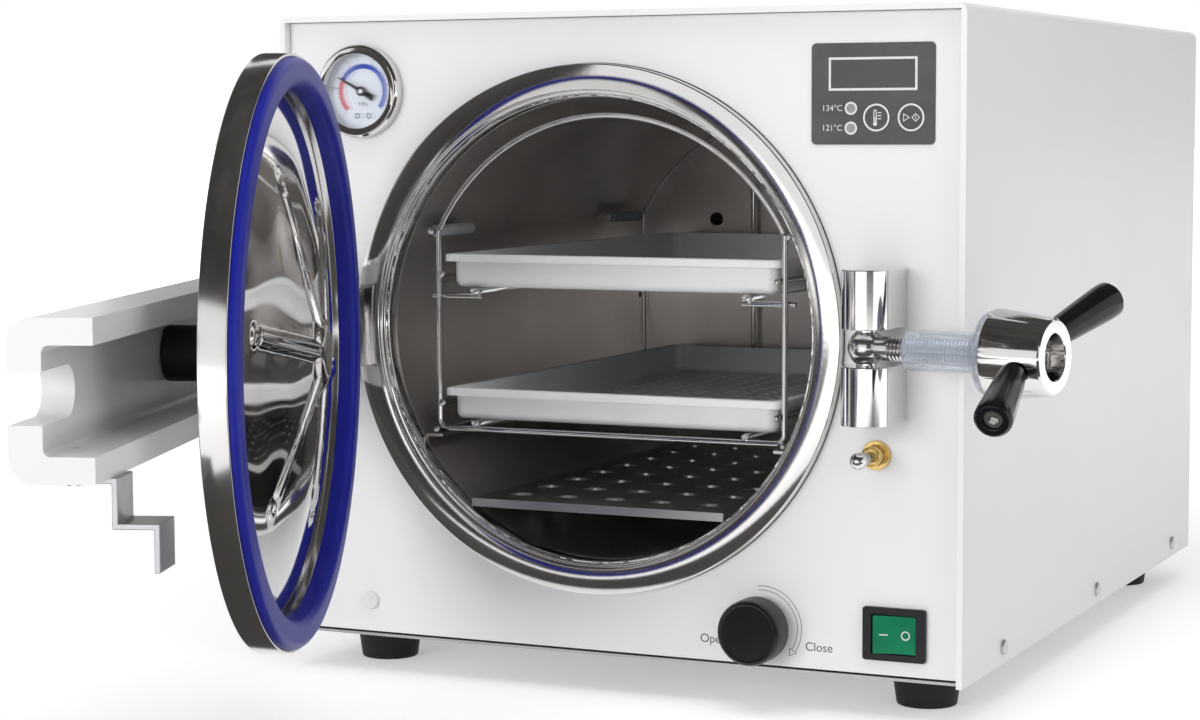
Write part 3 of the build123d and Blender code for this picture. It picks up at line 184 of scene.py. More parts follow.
def spun(profile, centre, closed=True, steps=TURN_STEPS, round_off=0.0):
    """A turned bmesh about an axis along Y, from (radius, distance back) pairs in metres."""
    bm = bmesh.new()
    points = [(radius, back, 0.0) for radius, back in profile]
    verts, edges = chain(bm, points, closed)
    bmesh.ops.spin(bm, geom=verts + edges, cent=(0, 0, 0), axis=(0, 1, 0), angle=2 * pi, steps=steps,
                   use_merge=True, use_duplicate=False)
    bmesh.ops.remove_doubles(bm, verts=bm.verts, dist=MERGE_GAP)
    bmesh.ops.dissolve_degenerate(bm, dist=MERGE_GAP / 10, edges=bm.edges)
    bmesh.ops.recalc_face_normals(bm, faces=bm.faces)
    if round_off:
        bevel_sharp(bm, round_off)
    bmesh.ops.translate(bm, verts=bm.verts, vec=Vector(centre))
    return bm


def placed(bm, matrix):
    """A bmesh moved by a matrix."""
    bmesh.ops.transform(bm, matrix=matrix, verts=bm.verts)
    return bm


def flat_square(half_width):
    """A flat square about the middle."""
    bm = bmesh.new()
    bmesh.ops.create_grid(bm, x_segments=1, y_segments=1, size=half_width)
    return bm


def copied(node, rounding, segments=2, smooth_angle=35.0):
    """A merged copy of a frame node, with its sharp edges rounded by a modifier."""
    bm = bmesh.new()
    bm.from_mesh(frame["nodes"][node].data)
    bmesh.ops.remove_doubles(bm, verts=bm.verts, dist=MERGE_GAP)
    bmesh.ops.dissolve_limit(bm, angle_limit=radians(0.5), verts=bm.verts, edges=bm.edges,
                             use_dissolve_boundaries=False, delimit={"NORMAL"})
    piece = object_from(bm, node + "_shape", smooth_angle)
    if rounding:
        bevel = piece.modifiers.new("Rounded edges", "BEVEL")
        bevel.width = rounding
        bevel.segments = segments
        bevel.limit_method = "ANGLE"
        bevel.angle_limit = SHARP_ANGLE
        bevel.harden_normals = True
    return piece


def settle_copy(node, finish, slot, rounding=0.0, body="cabinet", **shape):
    """Puts a copy of a frame node in its place, with its edges rounded."""
    settle(copied(node, rounding, **shape), body, finishes[finish], [node])


def dress(node, finish):
    """Gives a frame node that stays as it is one finish."""
    for slot in frame["nodes"][node].material_slots:
        slot.material = finishes[finish]


# Material nodes


def new_material(name, colour, roughness, metallic=0.0, **sockets):
    """A material with its plain values set on the shader, and its node tree and shader."""
    material = bpy.data.materials.new(name)
    material.use_nodes = True
    tree = material.node_tree
    shader = tree.nodes["Principled BSDF"]
    shader.inputs["Base Color"].default_value = (*colour, 1.0)
    shader.inputs["Roughness"].default_value = roughness
    shader.inputs["Metallic"].default_value = metallic
    for socket, value in sockets.items():
        shader.inputs[socket.replace("_", " ")].default_value = value
    return material, tree, shader


def add_node(tree, kind, links, **values):
    """A node with some inputs linked and others set to plain values."""
    node = tree.nodes.new("ShaderNode" + kind)
    for socket, value in values.items():
        node.inputs[socket.replace("_", " ")].default_value = value
    for socket, source in links.items():
        tree.links.new(source, node.inputs[socket])
    return node


def stretched_coordinates(tree, stretch=(1, 1, 1), centre=(0, 0, 0), turn=(0, 0, 0)):
    """Object coordinates, centred, turned and stretched."""
    source = tree.nodes.new("ShaderNodeTexCoord").outputs["Object"]
    mapping = add_node(tree, "Mapping", {"Vector": source}, Location=centre, Rotation=turn, Scale=stretch)
    mapping.vector_type = "TEXTURE"
    return mapping.outputs["Vector"]


def noise(tree, vector, scale, detail=3.0, roughness=0.5):
    """The height of a noise texture."""
    node = add_node(tree, "TexNoise", {"Vector": vector}, Scale=scale, Detail=detail, Roughness=roughness)
    return node.outputs["Fac"]


def span(tree, value, low, high):
    """A value between 0 and 1 mapped to between two others."""
    return add_node(tree, "MapRange", {"Value": value}, To_Min=low, To_Max=high).outputs["Result"]


def calculated(tree, operation, first, second):
    """One sum on two values, the second a plain number or a value too."""
    node = tree.nodes.new("ShaderNodeMath")
    node.operation = operation
    tree.links.new(first, node.inputs[0])
    if isinstance(second, float):
        node.inputs[1].default_value = second
    else:
        tree.links.new(second, node.inputs[1])
    return node.outputs["Value"]


def bump(tree, shader, height, strength, depth):
    """Raises the surface by a height value."""
    node = add_node(tree, "Bump", {"Height": height}, Strength=strength, Distance=depth)
    tree.links.new(node.outputs["Normal"], shader.inputs["Normal"])


def shade_between(tree, shader, value, dark, light, low=0.3, high=0.7):
    """Colours the surface between two shades by a value."""
    node = add_node(tree, "ValToRGB", {"Fac": value})
    for element, place, colour in zip(node.color_ramp.elements, (low, high), (dark, light)):
        element.position = place
        element.color = (*colour, 1.0)
    tree.links.new(node.outputs["Color"], shader.inputs["Base Color"])


def roughen(tree, shader, value, low, high):
    """Varies the roughness between two values."""
    tree.links.new(span(tree, value, low, high), shader.inputs["Roughness"])


def scaled(colour, factor):
    """A colour made lighter or darker."""
    return tuple(channel * factor for channel in colour)


# Finishes


def grained(name, colour, roughness, cloud, dark, grain, relief, metallic=0.0, **sockets):
    """A cloudy shade and a fine grain; cloud and grain are scale and detail, relief is strength and depth."""
    material, tree, shader = new_material(name, colour, roughness, metallic, **sockets)
    vector = stretched_coordinates(tree)
    shade_between(tree, shader, noise(tree, vector, *cloud), scaled(colour, dark), colour)
    bump(tree, shader, noise(tree, vector, *grain), *relief)
    return material


def coated_metal(name, colour):
    """Powder coat: faint orange peel, and a slight change of shade over the sheet."""
    material, tree, shader = new_material(name, colour, 0.42, Specular_IOR_Level=0.45, Coat_Weight=0.12,
                                          Coat_Roughness=0.25)
    vector = stretched_coordinates(tree)
    shade_between(tree, shader, noise(tree, vector, 7.0, 4.0), scaled(colour, 0.965), colour)
    bump(tree, shader, noise(tree, vector, 900.0, 2.0), 0.18, 0.00012)
    roughen(tree, shader, noise(tree, vector, 25.0, 5.0), 0.36, 0.5)
    return material


def polished_metal(name, colour, low=0.05, high=0.16):
    """Polished steel with faint wipe marks and hairlines."""
    material, tree, shader = new_material(name, colour, low, 1.0)
    vector = stretched_coordinates(tree)
    smear = noise(tree, vector, 22.0, 6.0, 0.65)
    roughen(tree, shader, smear, low, high)
    bump(tree, shader, noise(tree, vector, 900.0, 3.0), 0.05, 0.00005)
    shade_between(tree, shader, smear, scaled(colour, 0.93), colour)
    return material


def brushed_metal(name, colour, stretch, low=0.22, high=0.42, strength=0.25):
    """Steel with fine lines drawn out along one direction."""
    material, tree, shader = new_material(name, colour, low, 1.0)
    lines = noise(tree, stretched_coordinates(tree, stretch), 1400.0, 3.0, 0.6)
    cloud = noise(tree, stretched_coordinates(tree), 14.0, 5.0, 0.6)
    shade_between(tree, shader, cloud, scaled(colour, 0.8), colour, 0.25, 0.75)
    roughen(tree, shader, lines, low, high)
    bump(tree, shader, lines, strength, 0.00006)
    return material


def turned_metal(name, colour, centre, turn, low, high):
    """Lathe-finished steel with fine rings about an axis along Y, turned about the upright."""
    material, tree, shader = new_material(name, colour, low, 1.0)
    vector = stretched_coordinates(tree, centre=centre, turn=(0, 0, turn))
    wave = add_node(tree, "TexWave", {"Vector": vector}, Scale=700.0, Distortion=1.5)
    wave.wave_type = "RINGS"
    wave.rings_direction = "Y"
    bump(tree, shader, wave.outputs["Fac"], 0.05, 0.00003)
    smear = noise(tree, vector, 30.0, 5.0)
    roughen(tree, shader, smear, low, high)
    shade_between(tree, shader, smear, scaled(colour, 0.92), colour)
    return material


def threaded_metal(name, colour, pivot, turn):
    """Steel rod with a screw thread beyond a distance from its pivot."""
    material, tree, shader = new_material(name, colour, 0.18, 1.0)
    vector = stretched_coordinates(tree, centre=pivot, turn=(0, 0, turn))
    wave = add_node(tree, "TexWave", {"Vector": vector}, Scale=pi / (10 * THREAD_PITCH))
    wave.bands_direction = "X"
    wave.wave_profile = "TRI"
    split = add_node(tree, "SeparateXYZ", {"Vector": vector})
    beyond = calculated(tree, "GREATER_THAN", split.outputs["X"], THREAD_START)
    bump(tree, shader, calculated(tree, "MULTIPLY", wave.outputs["Fac"], beyond), 0.7, 0.0009)
    shade_between(tree, shader, noise(tree, vector, 30.0, 5.0), scaled(colour, 0.85), colour)
    return material


def plastic(name, colour, roughness, grain=1200.0, strength=0.12, coat=0.0):
    """Moulded plastic with a fine skin."""
    material, tree, shader = new_material(name, colour, roughness, Coat_Weight=coat, Specular_IOR_Level=0.32)
    vector = stretched_coordinates(tree)
    shade_between(tree, shader, noise(tree, vector, 60.0, 4.0), scaled(colour, 0.85), scaled(colour, 1.08))
    bump(tree, shader, noise(tree, vector, grain, 2.0), strength, 0.0001)
    roughen(tree, shader, noise(tree, vector, 45.0, 5.0), roughness * 0.8, roughness * 1.25)
    return material


def clear_glass(name, colour, roughness, weight, alpha):
    """Thin glass or a smoked window, with faint smears."""
    material, tree, shader = new_material(name, colour, roughness, Transmission_Weight=weight, Alpha=alpha,
                                          IOR=1.45)
    smear = noise(tree, stretched_coordinates(tree), 70.0, 5.0)
    roughen(tree, shader, smear, roughness, roughness + 0.05)
    return material


def printed_ink(name, colour):
    """Screen-printed ink with slightly uneven cover."""
    material, tree, shader = new_material(name, colour, 0.5)
    vector = stretched_coordinates(tree)
    shade_between(tree, shader, noise(tree, vector, 900.0, 3.0), scaled(colour, 0.88), colour)
    return material


def woven_wrap(colour):
    """Coarse woven insulation."""
    material, tree, shader = new_material("insulation", colour, 0.9, Sheen_Weight=0.3)
    vector = stretched_coordinates(tree)
    weave = add_node(tree, "TexMagic", {"Vector": vector}, Scale=260.0)
    shade_between(tree, shader, noise(tree, vector, 30.0, 5.0), scaled(colour, 0.8), colour)
    bump(tree, shader, weave.outputs["Fac"], 0.6, 0.0006)
    return material


def circuit_board(colour):
    """Solder mask with tracks under it."""
    material, tree, shader = new_material("board", colour, 0.35)
    tracks = add_node(tree, "TexBrick", {"Vector": stretched_coordinates(tree)}, Scale=260.0)
    for socket, factor in (("Color1", 1.0), ("Color2", 0.7), ("Mortar", 1.9)):
        tracks.inputs[socket].default_value = (*scaled(colour, factor), 1.0)
    tree.links.new(tracks.outputs["Color"], shader.inputs["Base Color"])
    return material


# Settings


def colour_setting(label, help_text, default):
    """A colour property with its words and default."""
    return bpy.props.FloatVectorProperty(name=label, description=help_text, subtype="COLOR", size=3, min=0.0,
                                         max=1.0, default=default)


def length_setting(label, help_text, default):
    """A length property in metres with its words and default."""
    return bpy.props.FloatProperty(name=label, description=help_text, subtype="DISTANCE", unit="LENGTH",
                                   default=default, precision=5)


def number_setting(label, help_text, default):
    """A plain number property with its words and default."""
    return bpy.props.FloatProperty(name=label, description=help_text, default=default)


class AutoclaveColours(bpy.types.PropertyGroup):
    """Colours of the autoclave's finishes."""

    case: colour_setting("Case", "Powder coat of the shell and the panels", (0.78, 0.78, 0.79))
    beam: colour_setting("Beam", "Enamel of the door beam", (0.7, 0.7, 0.705))
    steel: colour_setting("Steel", "Polished steel of the ring, the rim and the brackets", (0.78, 0.77, 0.76))
    chamber: colour_setting("Chamber", "Brushed steel of the pressure chamber", (0.86, 0.82, 0.79))
    tray: colour_setting("Tray", "Anodised sheet of the trays", (0.93, 0.93, 0.93))
    gasket: colour_setting("Gasket", "Silicone of the lid gasket", (0.004, 0.009, 0.27))
    overlay: colour_setting("Overlay", "Control overlay", (0.085, 0.085, 0.092))
    ink: colour_setting("Ink", "Pale print on the overlay", (0.72, 0.71, 0.73))
    rocker: colour_setting("Rocker", "Green mains rocker", (0.002, 0.17, 0.075))
    brass: colour_setting("Brass", "Interlock bush and valves", (0.78, 0.55, 0.2))


class AutoclaveSizes(bpy.types.PropertyGroup):
    """Sizes of the details that the frame doesn't hold."""

    edge: length_setting("Sheet edge", "Rounding of the folded sheet's edges", 0.0006)
    ring_edge: length_setting("Ring edge", "Rounding of the turned rings' edges", 0.0009)
    rib_rise: length_setting("Rib rise", "How far the lid's ribs stand out of the pan", 0.0036)
    rib_half: length_setting("Rib half width", "Half the width of a rib at its middle", 0.0052)
    pan_wave: length_setting("Pan wave", "Depth of the pressed pan's gentle waves", 0.0012)
    pan_wave_scale: number_setting("Pan wave scale", "Waves of the pan over a metre", 22.0)
    word_height: length_setting("Word height", "Letter size of the words beside the knob", 0.0064)
    label_height: length_setting("Label height", "Letter size of the labels on the overlay", 0.0042)


class AutoclaveStudio(bpy.types.PropertyGroup):
    """Camera and light."""

    focal: number_setting("Focal length", "Camera lens in millimetres", 80.6)
    azimuth: number_setting("Azimuth", "Turn of the camera about the upright, in degrees", 24.92)
    drop: number_setting("Drop", "How far the camera looks down, in degrees", 5.01)
    roll: number_setting("Roll", "Tilt of the camera about its own axis, in degrees", -0.2)
    from_panel: bpy.props.FloatVectorProperty(
        name="Camera place", description="Camera from the foot of the front panel's middle",
        subtype="XYZ", unit="LENGTH", default=(0.584, -1.26845, 0.2994))
    ambient: number_setting("Ambient", "Strength of the world's light", 0.5)


def sizes():
    """The scene's size settings."""
    return bpy.context.scene.autoclave_sizes


class FinishesOperator(bpy.types.Operator):
    """Makes every finish once"""

    bl_idname = "autoclave.finishes"
    bl_label = "Finishes"

    def execute(self, context):
        tint = context.scene.autoclave_colours
        steel = tuple(tint.steel)
        overlay = tuple(tint.overlay)
        door_turn = radians(joint_named("door_hinge")["range_deg"][0])
        lid_centre = tuple(door_swing @ mouth)
        bolt = joint_named("bolt_swing")
        bolt_turn = radians(-90 - bolt["range_deg"][0])
        finishes.update({
            "case": coated_metal("powder_coat", tuple(tint.case)),
            "beam": grained("cast_enamel", tuple(tint.beam), 0.34, (16.0, 5.0), 0.95, (90.0, 3.0),
                            (0.25, 0.0005), Coat_Weight=0.3, Coat_Roughness=0.2),
            "polished": polished_metal("polished_steel", steel),
            "ring": turned_metal("turned_ring", steel, tuple(mouth), 0, 0.05, 0.1),
            "rim": turned_metal("turned_rim", steel, lid_centre, door_turn, 0.1, 0.2),
            "bolt": threaded_metal("threaded_rod", steel, bolt["pos_m"], bolt_turn),
            "mirror": polished_metal("pressed_mirror", scaled(steel, 1.04), 0.03, 0.08),
            "chamber": brushed_metal("chamber_steel", tuple(tint.chamber), (1, 0.04, 1)),
            "dark_steel": brushed_metal("shelf_steel", (0.72, 0.71, 0.7), (1, 0.05, 1), 0.26, 0.38, 0.1),
            "zinc": brushed_metal("zinc_plate", (0.6, 0.61, 0.63), (1, 1, 1), 0.25, 0.45),
            "tray": grained("tray_alloy", tuple(tint.tray), 0.42, (20.0, 5.0), 0.92, (1500.0, 2.0),
                            (0.2, 0.00008), 0.08),
            "gasket": grained("silicone_blue", tuple(tint.gasket), 0.4, (35.0, 5.0), 0.8, (500.0, 3.0),
                              (0.08, 0.0001), Specular_IOR_Level=0.35, Sheen_Weight=0.04),
            "rubber": plastic("black_rubber", (0.012, 0.012, 0.013), 0.6, 700.0, 0.25),
            "black_gloss": plastic("black_handle", (0.006, 0.006, 0.008), 0.24, 900.0, 0.05, 0.15),
            "black_matte": plastic("black_moulding", (0.016, 0.016, 0.018), 0.45),
            "nylon": grained("clear_nylon", (0.7, 0.75, 0.83), 0.14, (60.0, 4.0), 0.94, (300.0, 2.0),
                             (0.03, 0.0001), Transmission_Weight=0.88, Alpha=0.78, IOR=1.3),
            "brass": polished_metal("brass", tuple(tint.brass), 0.15, 0.3),
            "copper": polished_metal("copper", (0.8, 0.42, 0.26), 0.2, 0.4),
            "scaled": plastic("scaled_pipe", (0.02, 0.018, 0.016), 0.7, 900.0, 0.3),
            "overlay": plastic("overlay_skin", overlay, 0.42, 2500.0, 0.2),
            "ink": printed_ink("pale_ink", tuple(tint.ink)),
            "dark_ink": printed_ink("grey_ink", (0.07, 0.07, 0.075)),
            "red_ink": printed_ink("red_ink", (0.55, 0.02, 0.018)),
            "blue_ink": printed_ink("blue_ink", (0.012, 0.05, 0.42)),
            "smoked": clear_glass("smoked_window", (0.05, 0.05, 0.054), 0.2, 0.1, 1.0),
            "lens": clear_glass("gauge_glass", (0.96, 0.98, 1.0), 0.02, 1.0, 0.25),
            "dial": printed_ink("dial_white", (0.72, 0.76, 0.84)),
            "pointer": plastic("pointer_black", (0.01, 0.01, 0.012), 0.4),
            "lamp": plastic("lamp_grey", (0.3, 0.29, 0.3), 0.3, 2500.0, 0.3, 0.4),
            "key": plastic("key_skin", scaled(overlay, 0.9), 0.4, 2500.0, 0.2),
            "rocker": plastic("rocker_green", tuple(tint.rocker), 0.22, 1500.0, 0.05, 0.4),
            "plug": plastic("plug_pale", (0.66, 0.66, 0.67), 0.35),
            "sleeve": plastic("sleeve_grey", (0.36, 0.37, 0.4), 0.5),
            "wrap": woven_wrap((0.75, 0.72, 0.64)),
            "heater": plastic("heater_silicone", (0.5, 0.16, 0.08), 0.6, 500.0, 0.3),
            "board": circuit_board((0.01, 0.12, 0.05)),
        })
        return {"FINISHED"}


class InnerWorksOperator(bpy.types.Operator):
    """Gives a finish to each piece that stays as the frame has it"""

    bl_idname = "autoclave.inner_works"
    bl_label = "Inner works"

    def execute(self, context):
        kept = {
            "base_plate": "zinc", "insulation_jacket": "wrap", "heater_band": "heater",
            "chamber_saddles": "zinc", "interlock_switch": "black_matte", "gauge_case": "zinc",
            "display_module": "black_matte", "control_board": "board", "exhaust_valve": "brass",
            "steam_pipe": "scaled", "gauge_pipe": "copper", "hinge_pin": "polished", "latch_pin": "polished",
            "handle_studs": "zinc",
        }
        for node, finish in kept.items():
            dress(node, finish)
        return {"FINISHED"}


class CaseOperator(bpy.types.Operator):
    """Makes the shell, the panels, the feet, the plug and the case screws"""

    bl_idname = "autoclave.case"
    bl_label = "Case"

    def execute(self, context):
        edge = sizes().edge
        for node in ("outer_shell", "front_panel", "rear_panel"):
            settle_copy(node, "case", "white_paint", edge)
        settle_copy("feet", "rubber", "black_rubber", smooth_angle=40)
        settle_copy("panel_plug", "plug", "plug_white")
        settle_copy("case_screws", "zinc", "zinc_steel")
        return {"FINISHED"}


class ChamberOperator(bpy.types.Operator):
    """Makes the mouth ring with its weld, and the chamber"""

    bl_idname = "autoclave.chamber"
    bl_label = "Chamber"

    def execute(self, context):
        dress("chamber", "chamber")
        face = ring_low.y - panel_face
        back = ring_high.y - panel_face
        chamber_low, chamber_high = box_of("chamber")
        chamber_radius = (chamber_high.z - chamber_low.z) / 2 - CHAMBER_WALL
        bore = ring_radius - RING_WIDTH
        step = bore - RING_STEP
        profile = [
            (bore, face),
            (ring_radius, face),
            (ring_radius, back),
            (chamber_radius, back),
            (chamber_radius, face + RING_STEP_BACK),
            (step, face + RING_STEP_BACK),
            (step, face + RING_STEP_FRONT),
            (bore, face + RING_STEP_FRONT),
        ]
        ring = object_from(spun(profile, mouth, round_off=sizes().ring_edge), "mouth_ring_turned")
        settle(ring, "cabinet", finishes["ring"], ["mouth_ring"])
        weld_inset = 0.45 * MM
        self.make_weld(step - weld_inset, face + RING_STEP_BACK - weld_inset)
        return {"FINISHED"}

    def make_weld(self, radius, back):
        """A rippled weld bead in the corner behind the ring's step."""
        thickness = 0.75 * MM
        sides = 8
        profile = []
        for index in range(sides):
            turn = 2 * pi * index / sides
            profile.append((radius + thickness * cos(turn), back + thickness * sin(turn)))
        bm = spun(profile, (0, 0, 0), steps=480)
        for vert in bm.verts:
            swell = hetero_terrain(vert.co * 900, 0.6, 2.2, 3, 0.5) * 0.16
            ray = Vector((vert.co.x, 0, vert.co.z)).normalized()
            core = ray * radius + Vector((0, back, 0))
            vert.co = core + (vert.co - core) * (0.72 + min(max(swell, -0.3), 0.3))
        bmesh.ops.translate(bm, verts=bm.verts, vec=mouth)
        settle(object_from(bm, "ring_weld"), "cabinet", finishes["mirror"])


class RackOperator(bpy.types.Operator):
    """Makes the wire rack, its sleeves, the trays and the shelf"""

    bl_idname = "autoclave.rack"
    bl_label = "Rack and trays"

    def execute(self, context):
        settle_copy("tray_rack", "polished", "polished_steel", body="rack", smooth_angle=50)
        settle_copy("rack_sleeves", "sleeve", "grey_sleeve", body="rack")
        for node, body in (("upper_tray", "tray_upper"), ("lower_tray", "tray_lower")):
            settle_copy(node, "tray", "tray_alloy", body=body, smooth_angle=40)
        settle_copy("shelf_plate", "dark_steel", "dark_steel", 0.0003, "shelf")
        return {"FINISHED"}


def smooth_step(value):
    """A smooth rise from 0 to 1."""
    value = min(max(value, 0.0), 1.0)
    return value * value * (3 - 2 * value)


def rib_lift(x, z, half_width):
    """How far the pressed star stands out at a place on the pan, as a share of a rib's rise."""
    eyelet = 1.1 * half_width
    pit = 0.6 * half_width
    core = 0.6 * PAN_BOSS
    lift = smooth_step(1.0 - (sqrt(x * x + z * z) - core) / core)
    for index in range(RIB_COUNT):
        angle = radians(RIB_START_ANGLE + index * 360 / RIB_COUNT)
        along = x * cos(angle) + z * sin(angle)
        across = -x * sin(angle) + z * cos(angle)
        if along <= 0:
            continue
        width = half_width * (1.2 - 0.4 * along / RIB_REACH)
        inside = smooth_step((RIB_REACH - along) / width)
        ridge = smooth_step(1.0 - abs(across) / width) - 0.7 * smooth_step(1.0 - abs(across) / (0.5 * width))
        lift = max(lift, ridge * inside)
        from_end = sqrt((along - RIB_REACH)**2 + across**2)
        if from_end < eyelet:
            lift = smooth_step(1.0 - from_end / eyelet) - 1.6 * smooth_step(1.0 - from_end / pit)
    return lift


class LidOperator(bpy.types.Operator):
    """Makes the lid's rim, pressed pan, gasket and hub"""

    bl_idname = "autoclave.lid"
    bl_label = "Lid"

    def execute(self, context):
        rim_low, rim_high = box_of("lid_rim")
        rim_radius = (rim_high.z - rim_low.z) / 2
        bore = ring_radius - RING_WIDTH
        gasket_face = ring_low.y - panel_face - SHUT_GAP
        rim_front = gasket_face - GASKET_PROUD
        groove = rim_front - GROOVE_DEPTH
        rim_back = rim_front - RIM_THICKNESS
        gasket_radius = bore + GASKET_WIDTH
        rim_profile = [
            (bore, rim_back),
            (rim_radius, rim_back),
            (rim_radius, rim_front),
            (gasket_radius, rim_front),
            (gasket_radius, groove),
            (bore, groove),
        ]
        rim = object_from(placed(spun(rim_profile, mouth, round_off=0.5 * MM), door_swing), "lid_rim_turned")
        settle(rim, "door", finishes["rim"], ["lid_rim"])
        gasket_profile = [(bore, groove), (gasket_radius, groove)]
        for centre, start in ((gasket_radius - GASKET_NOSE, 0), (bore + GASKET_NOSE, 90)):
            for turn in range(7):
                angle = radians(start + turn * 15)
                across = centre + GASKET_NOSE * cos(angle)
                gasket_profile.append((across, gasket_face - GASKET_NOSE + GASKET_NOSE * sin(angle)))
        gasket = object_from(placed(spun(gasket_profile, mouth), door_swing), "lid_gasket_moulded")
        settle(gasket, "door", finishes["gasket"], ["lid_gasket"])
        self.make_pan(bore, groove - PAN_SETBACK)
        settle_copy("lid_hub", "black_matte", "black_matte", body="door")
        return {"FINISHED"}

    def make_pan(self, edge_radius, edge_y):
        """Spins the domed pan in fine rings and presses the star into it."""
        size = sizes()
        rings = 100
        profile = []
        for index in range(rings + 1):
            radius = edge_radius * index / rings
            share = max(radius, PAN_FLAT) / edge_radius
            drop = 1 - PAN_LEAN * share - (1 - PAN_LEAN) * share**2
            profile.append((radius, edge_y + PAN_DEPTH * drop))
        bm = spun(profile, (0, 0, 0), closed=False, steps=320)
        for vert in bm.verts:
            lift = rib_lift(vert.co.x, vert.co.z, size.rib_half)
            edge = smooth_step(2.5 - 2.5 * sqrt(vert.co.x**2 + vert.co.z**2) / edge_radius)
            wave = noise_height(vert.co * size.pan_wave_scale) * size.pan_wave * edge
            vert.co.y += size.rib_rise * lift + wave - size.pan_wave
        bmesh.ops.smooth_vert(bm, verts=bm.verts, factor=0.5,
                              use_axis_x=False, use_axis_y=True, use_axis_z=False)
        bmesh.ops.translate(bm, verts=bm.verts, vec=mouth)
        pan = object_from(placed(bm, door_swing), "lid_pan_pressed", 60)
        wall = pan.modifiers.new("Sheet", "SOLIDIFY")
        wall.thickness = PAN_SHEET
        wall.offset = -1.0
        settle(pan, "door", finishes["mirror"], ["lid_pan"])


class DoorOperator(bpy.types.Operator):
    """Makes the beam, the hinge block, the striker and their screws"""

    bl_idname = "autoclave.door"
    bl_label = "Door beam"

    def execute(self, context):
        settle_copy("door_beam", "beam", "cast_white", 0.0014, "door", segments=3)
        settle_copy("striker", "zinc", "zinc_steel", 0.0004, "door")
        settle_copy("door_fasteners", "polished", "polished_steel", 0.0004, "door")
        settle_copy("hinge_bracket", "polished", "polished_steel", 0.0006)
        return {"FINISHED"}


class ClampOperator(bpy.types.Operator):
    """Makes the latch blocks, the swing bolt with its bush, hub and grips, and the interlock"""

    bl_idname = "autoclave.clamp"
    bl_label = "Clamp"

    def execute(self, context):
        settle_copy("latch_bracket", "polished", "polished_steel", 0.0006)
        settle_copy("swing_bolt", "bolt", "polished_steel", 0.0004, "bolt")
        settle_copy("thrust_bush", "nylon", "clear_bush", 0.0006, "clamp_bush")
        settle_copy("clamp_hub", "polished", "polished_steel", 0.0005, "clamp_handle")
        settle_copy("grips", "black_gloss", "black_gloss", 0.0009, "clamp_handle")
        settle_copy("grip_screws", "polished", "zinc_steel", 0.0003, "clamp_handle")
        settle_copy("interlock_bush", "brass", "brass", 0.0003)
        settle_copy("interlock_plunger", "polished", "polished_steel", body="plunger")
        return {"FINISHED"}


# Prints are flat shapes drawn with x to the right and z up, a hair in front of what carries them,
# and shapes that cross one another lie in layers
PRINT_LAYERS = 6
LAYER_GAP = 0.004 * MM


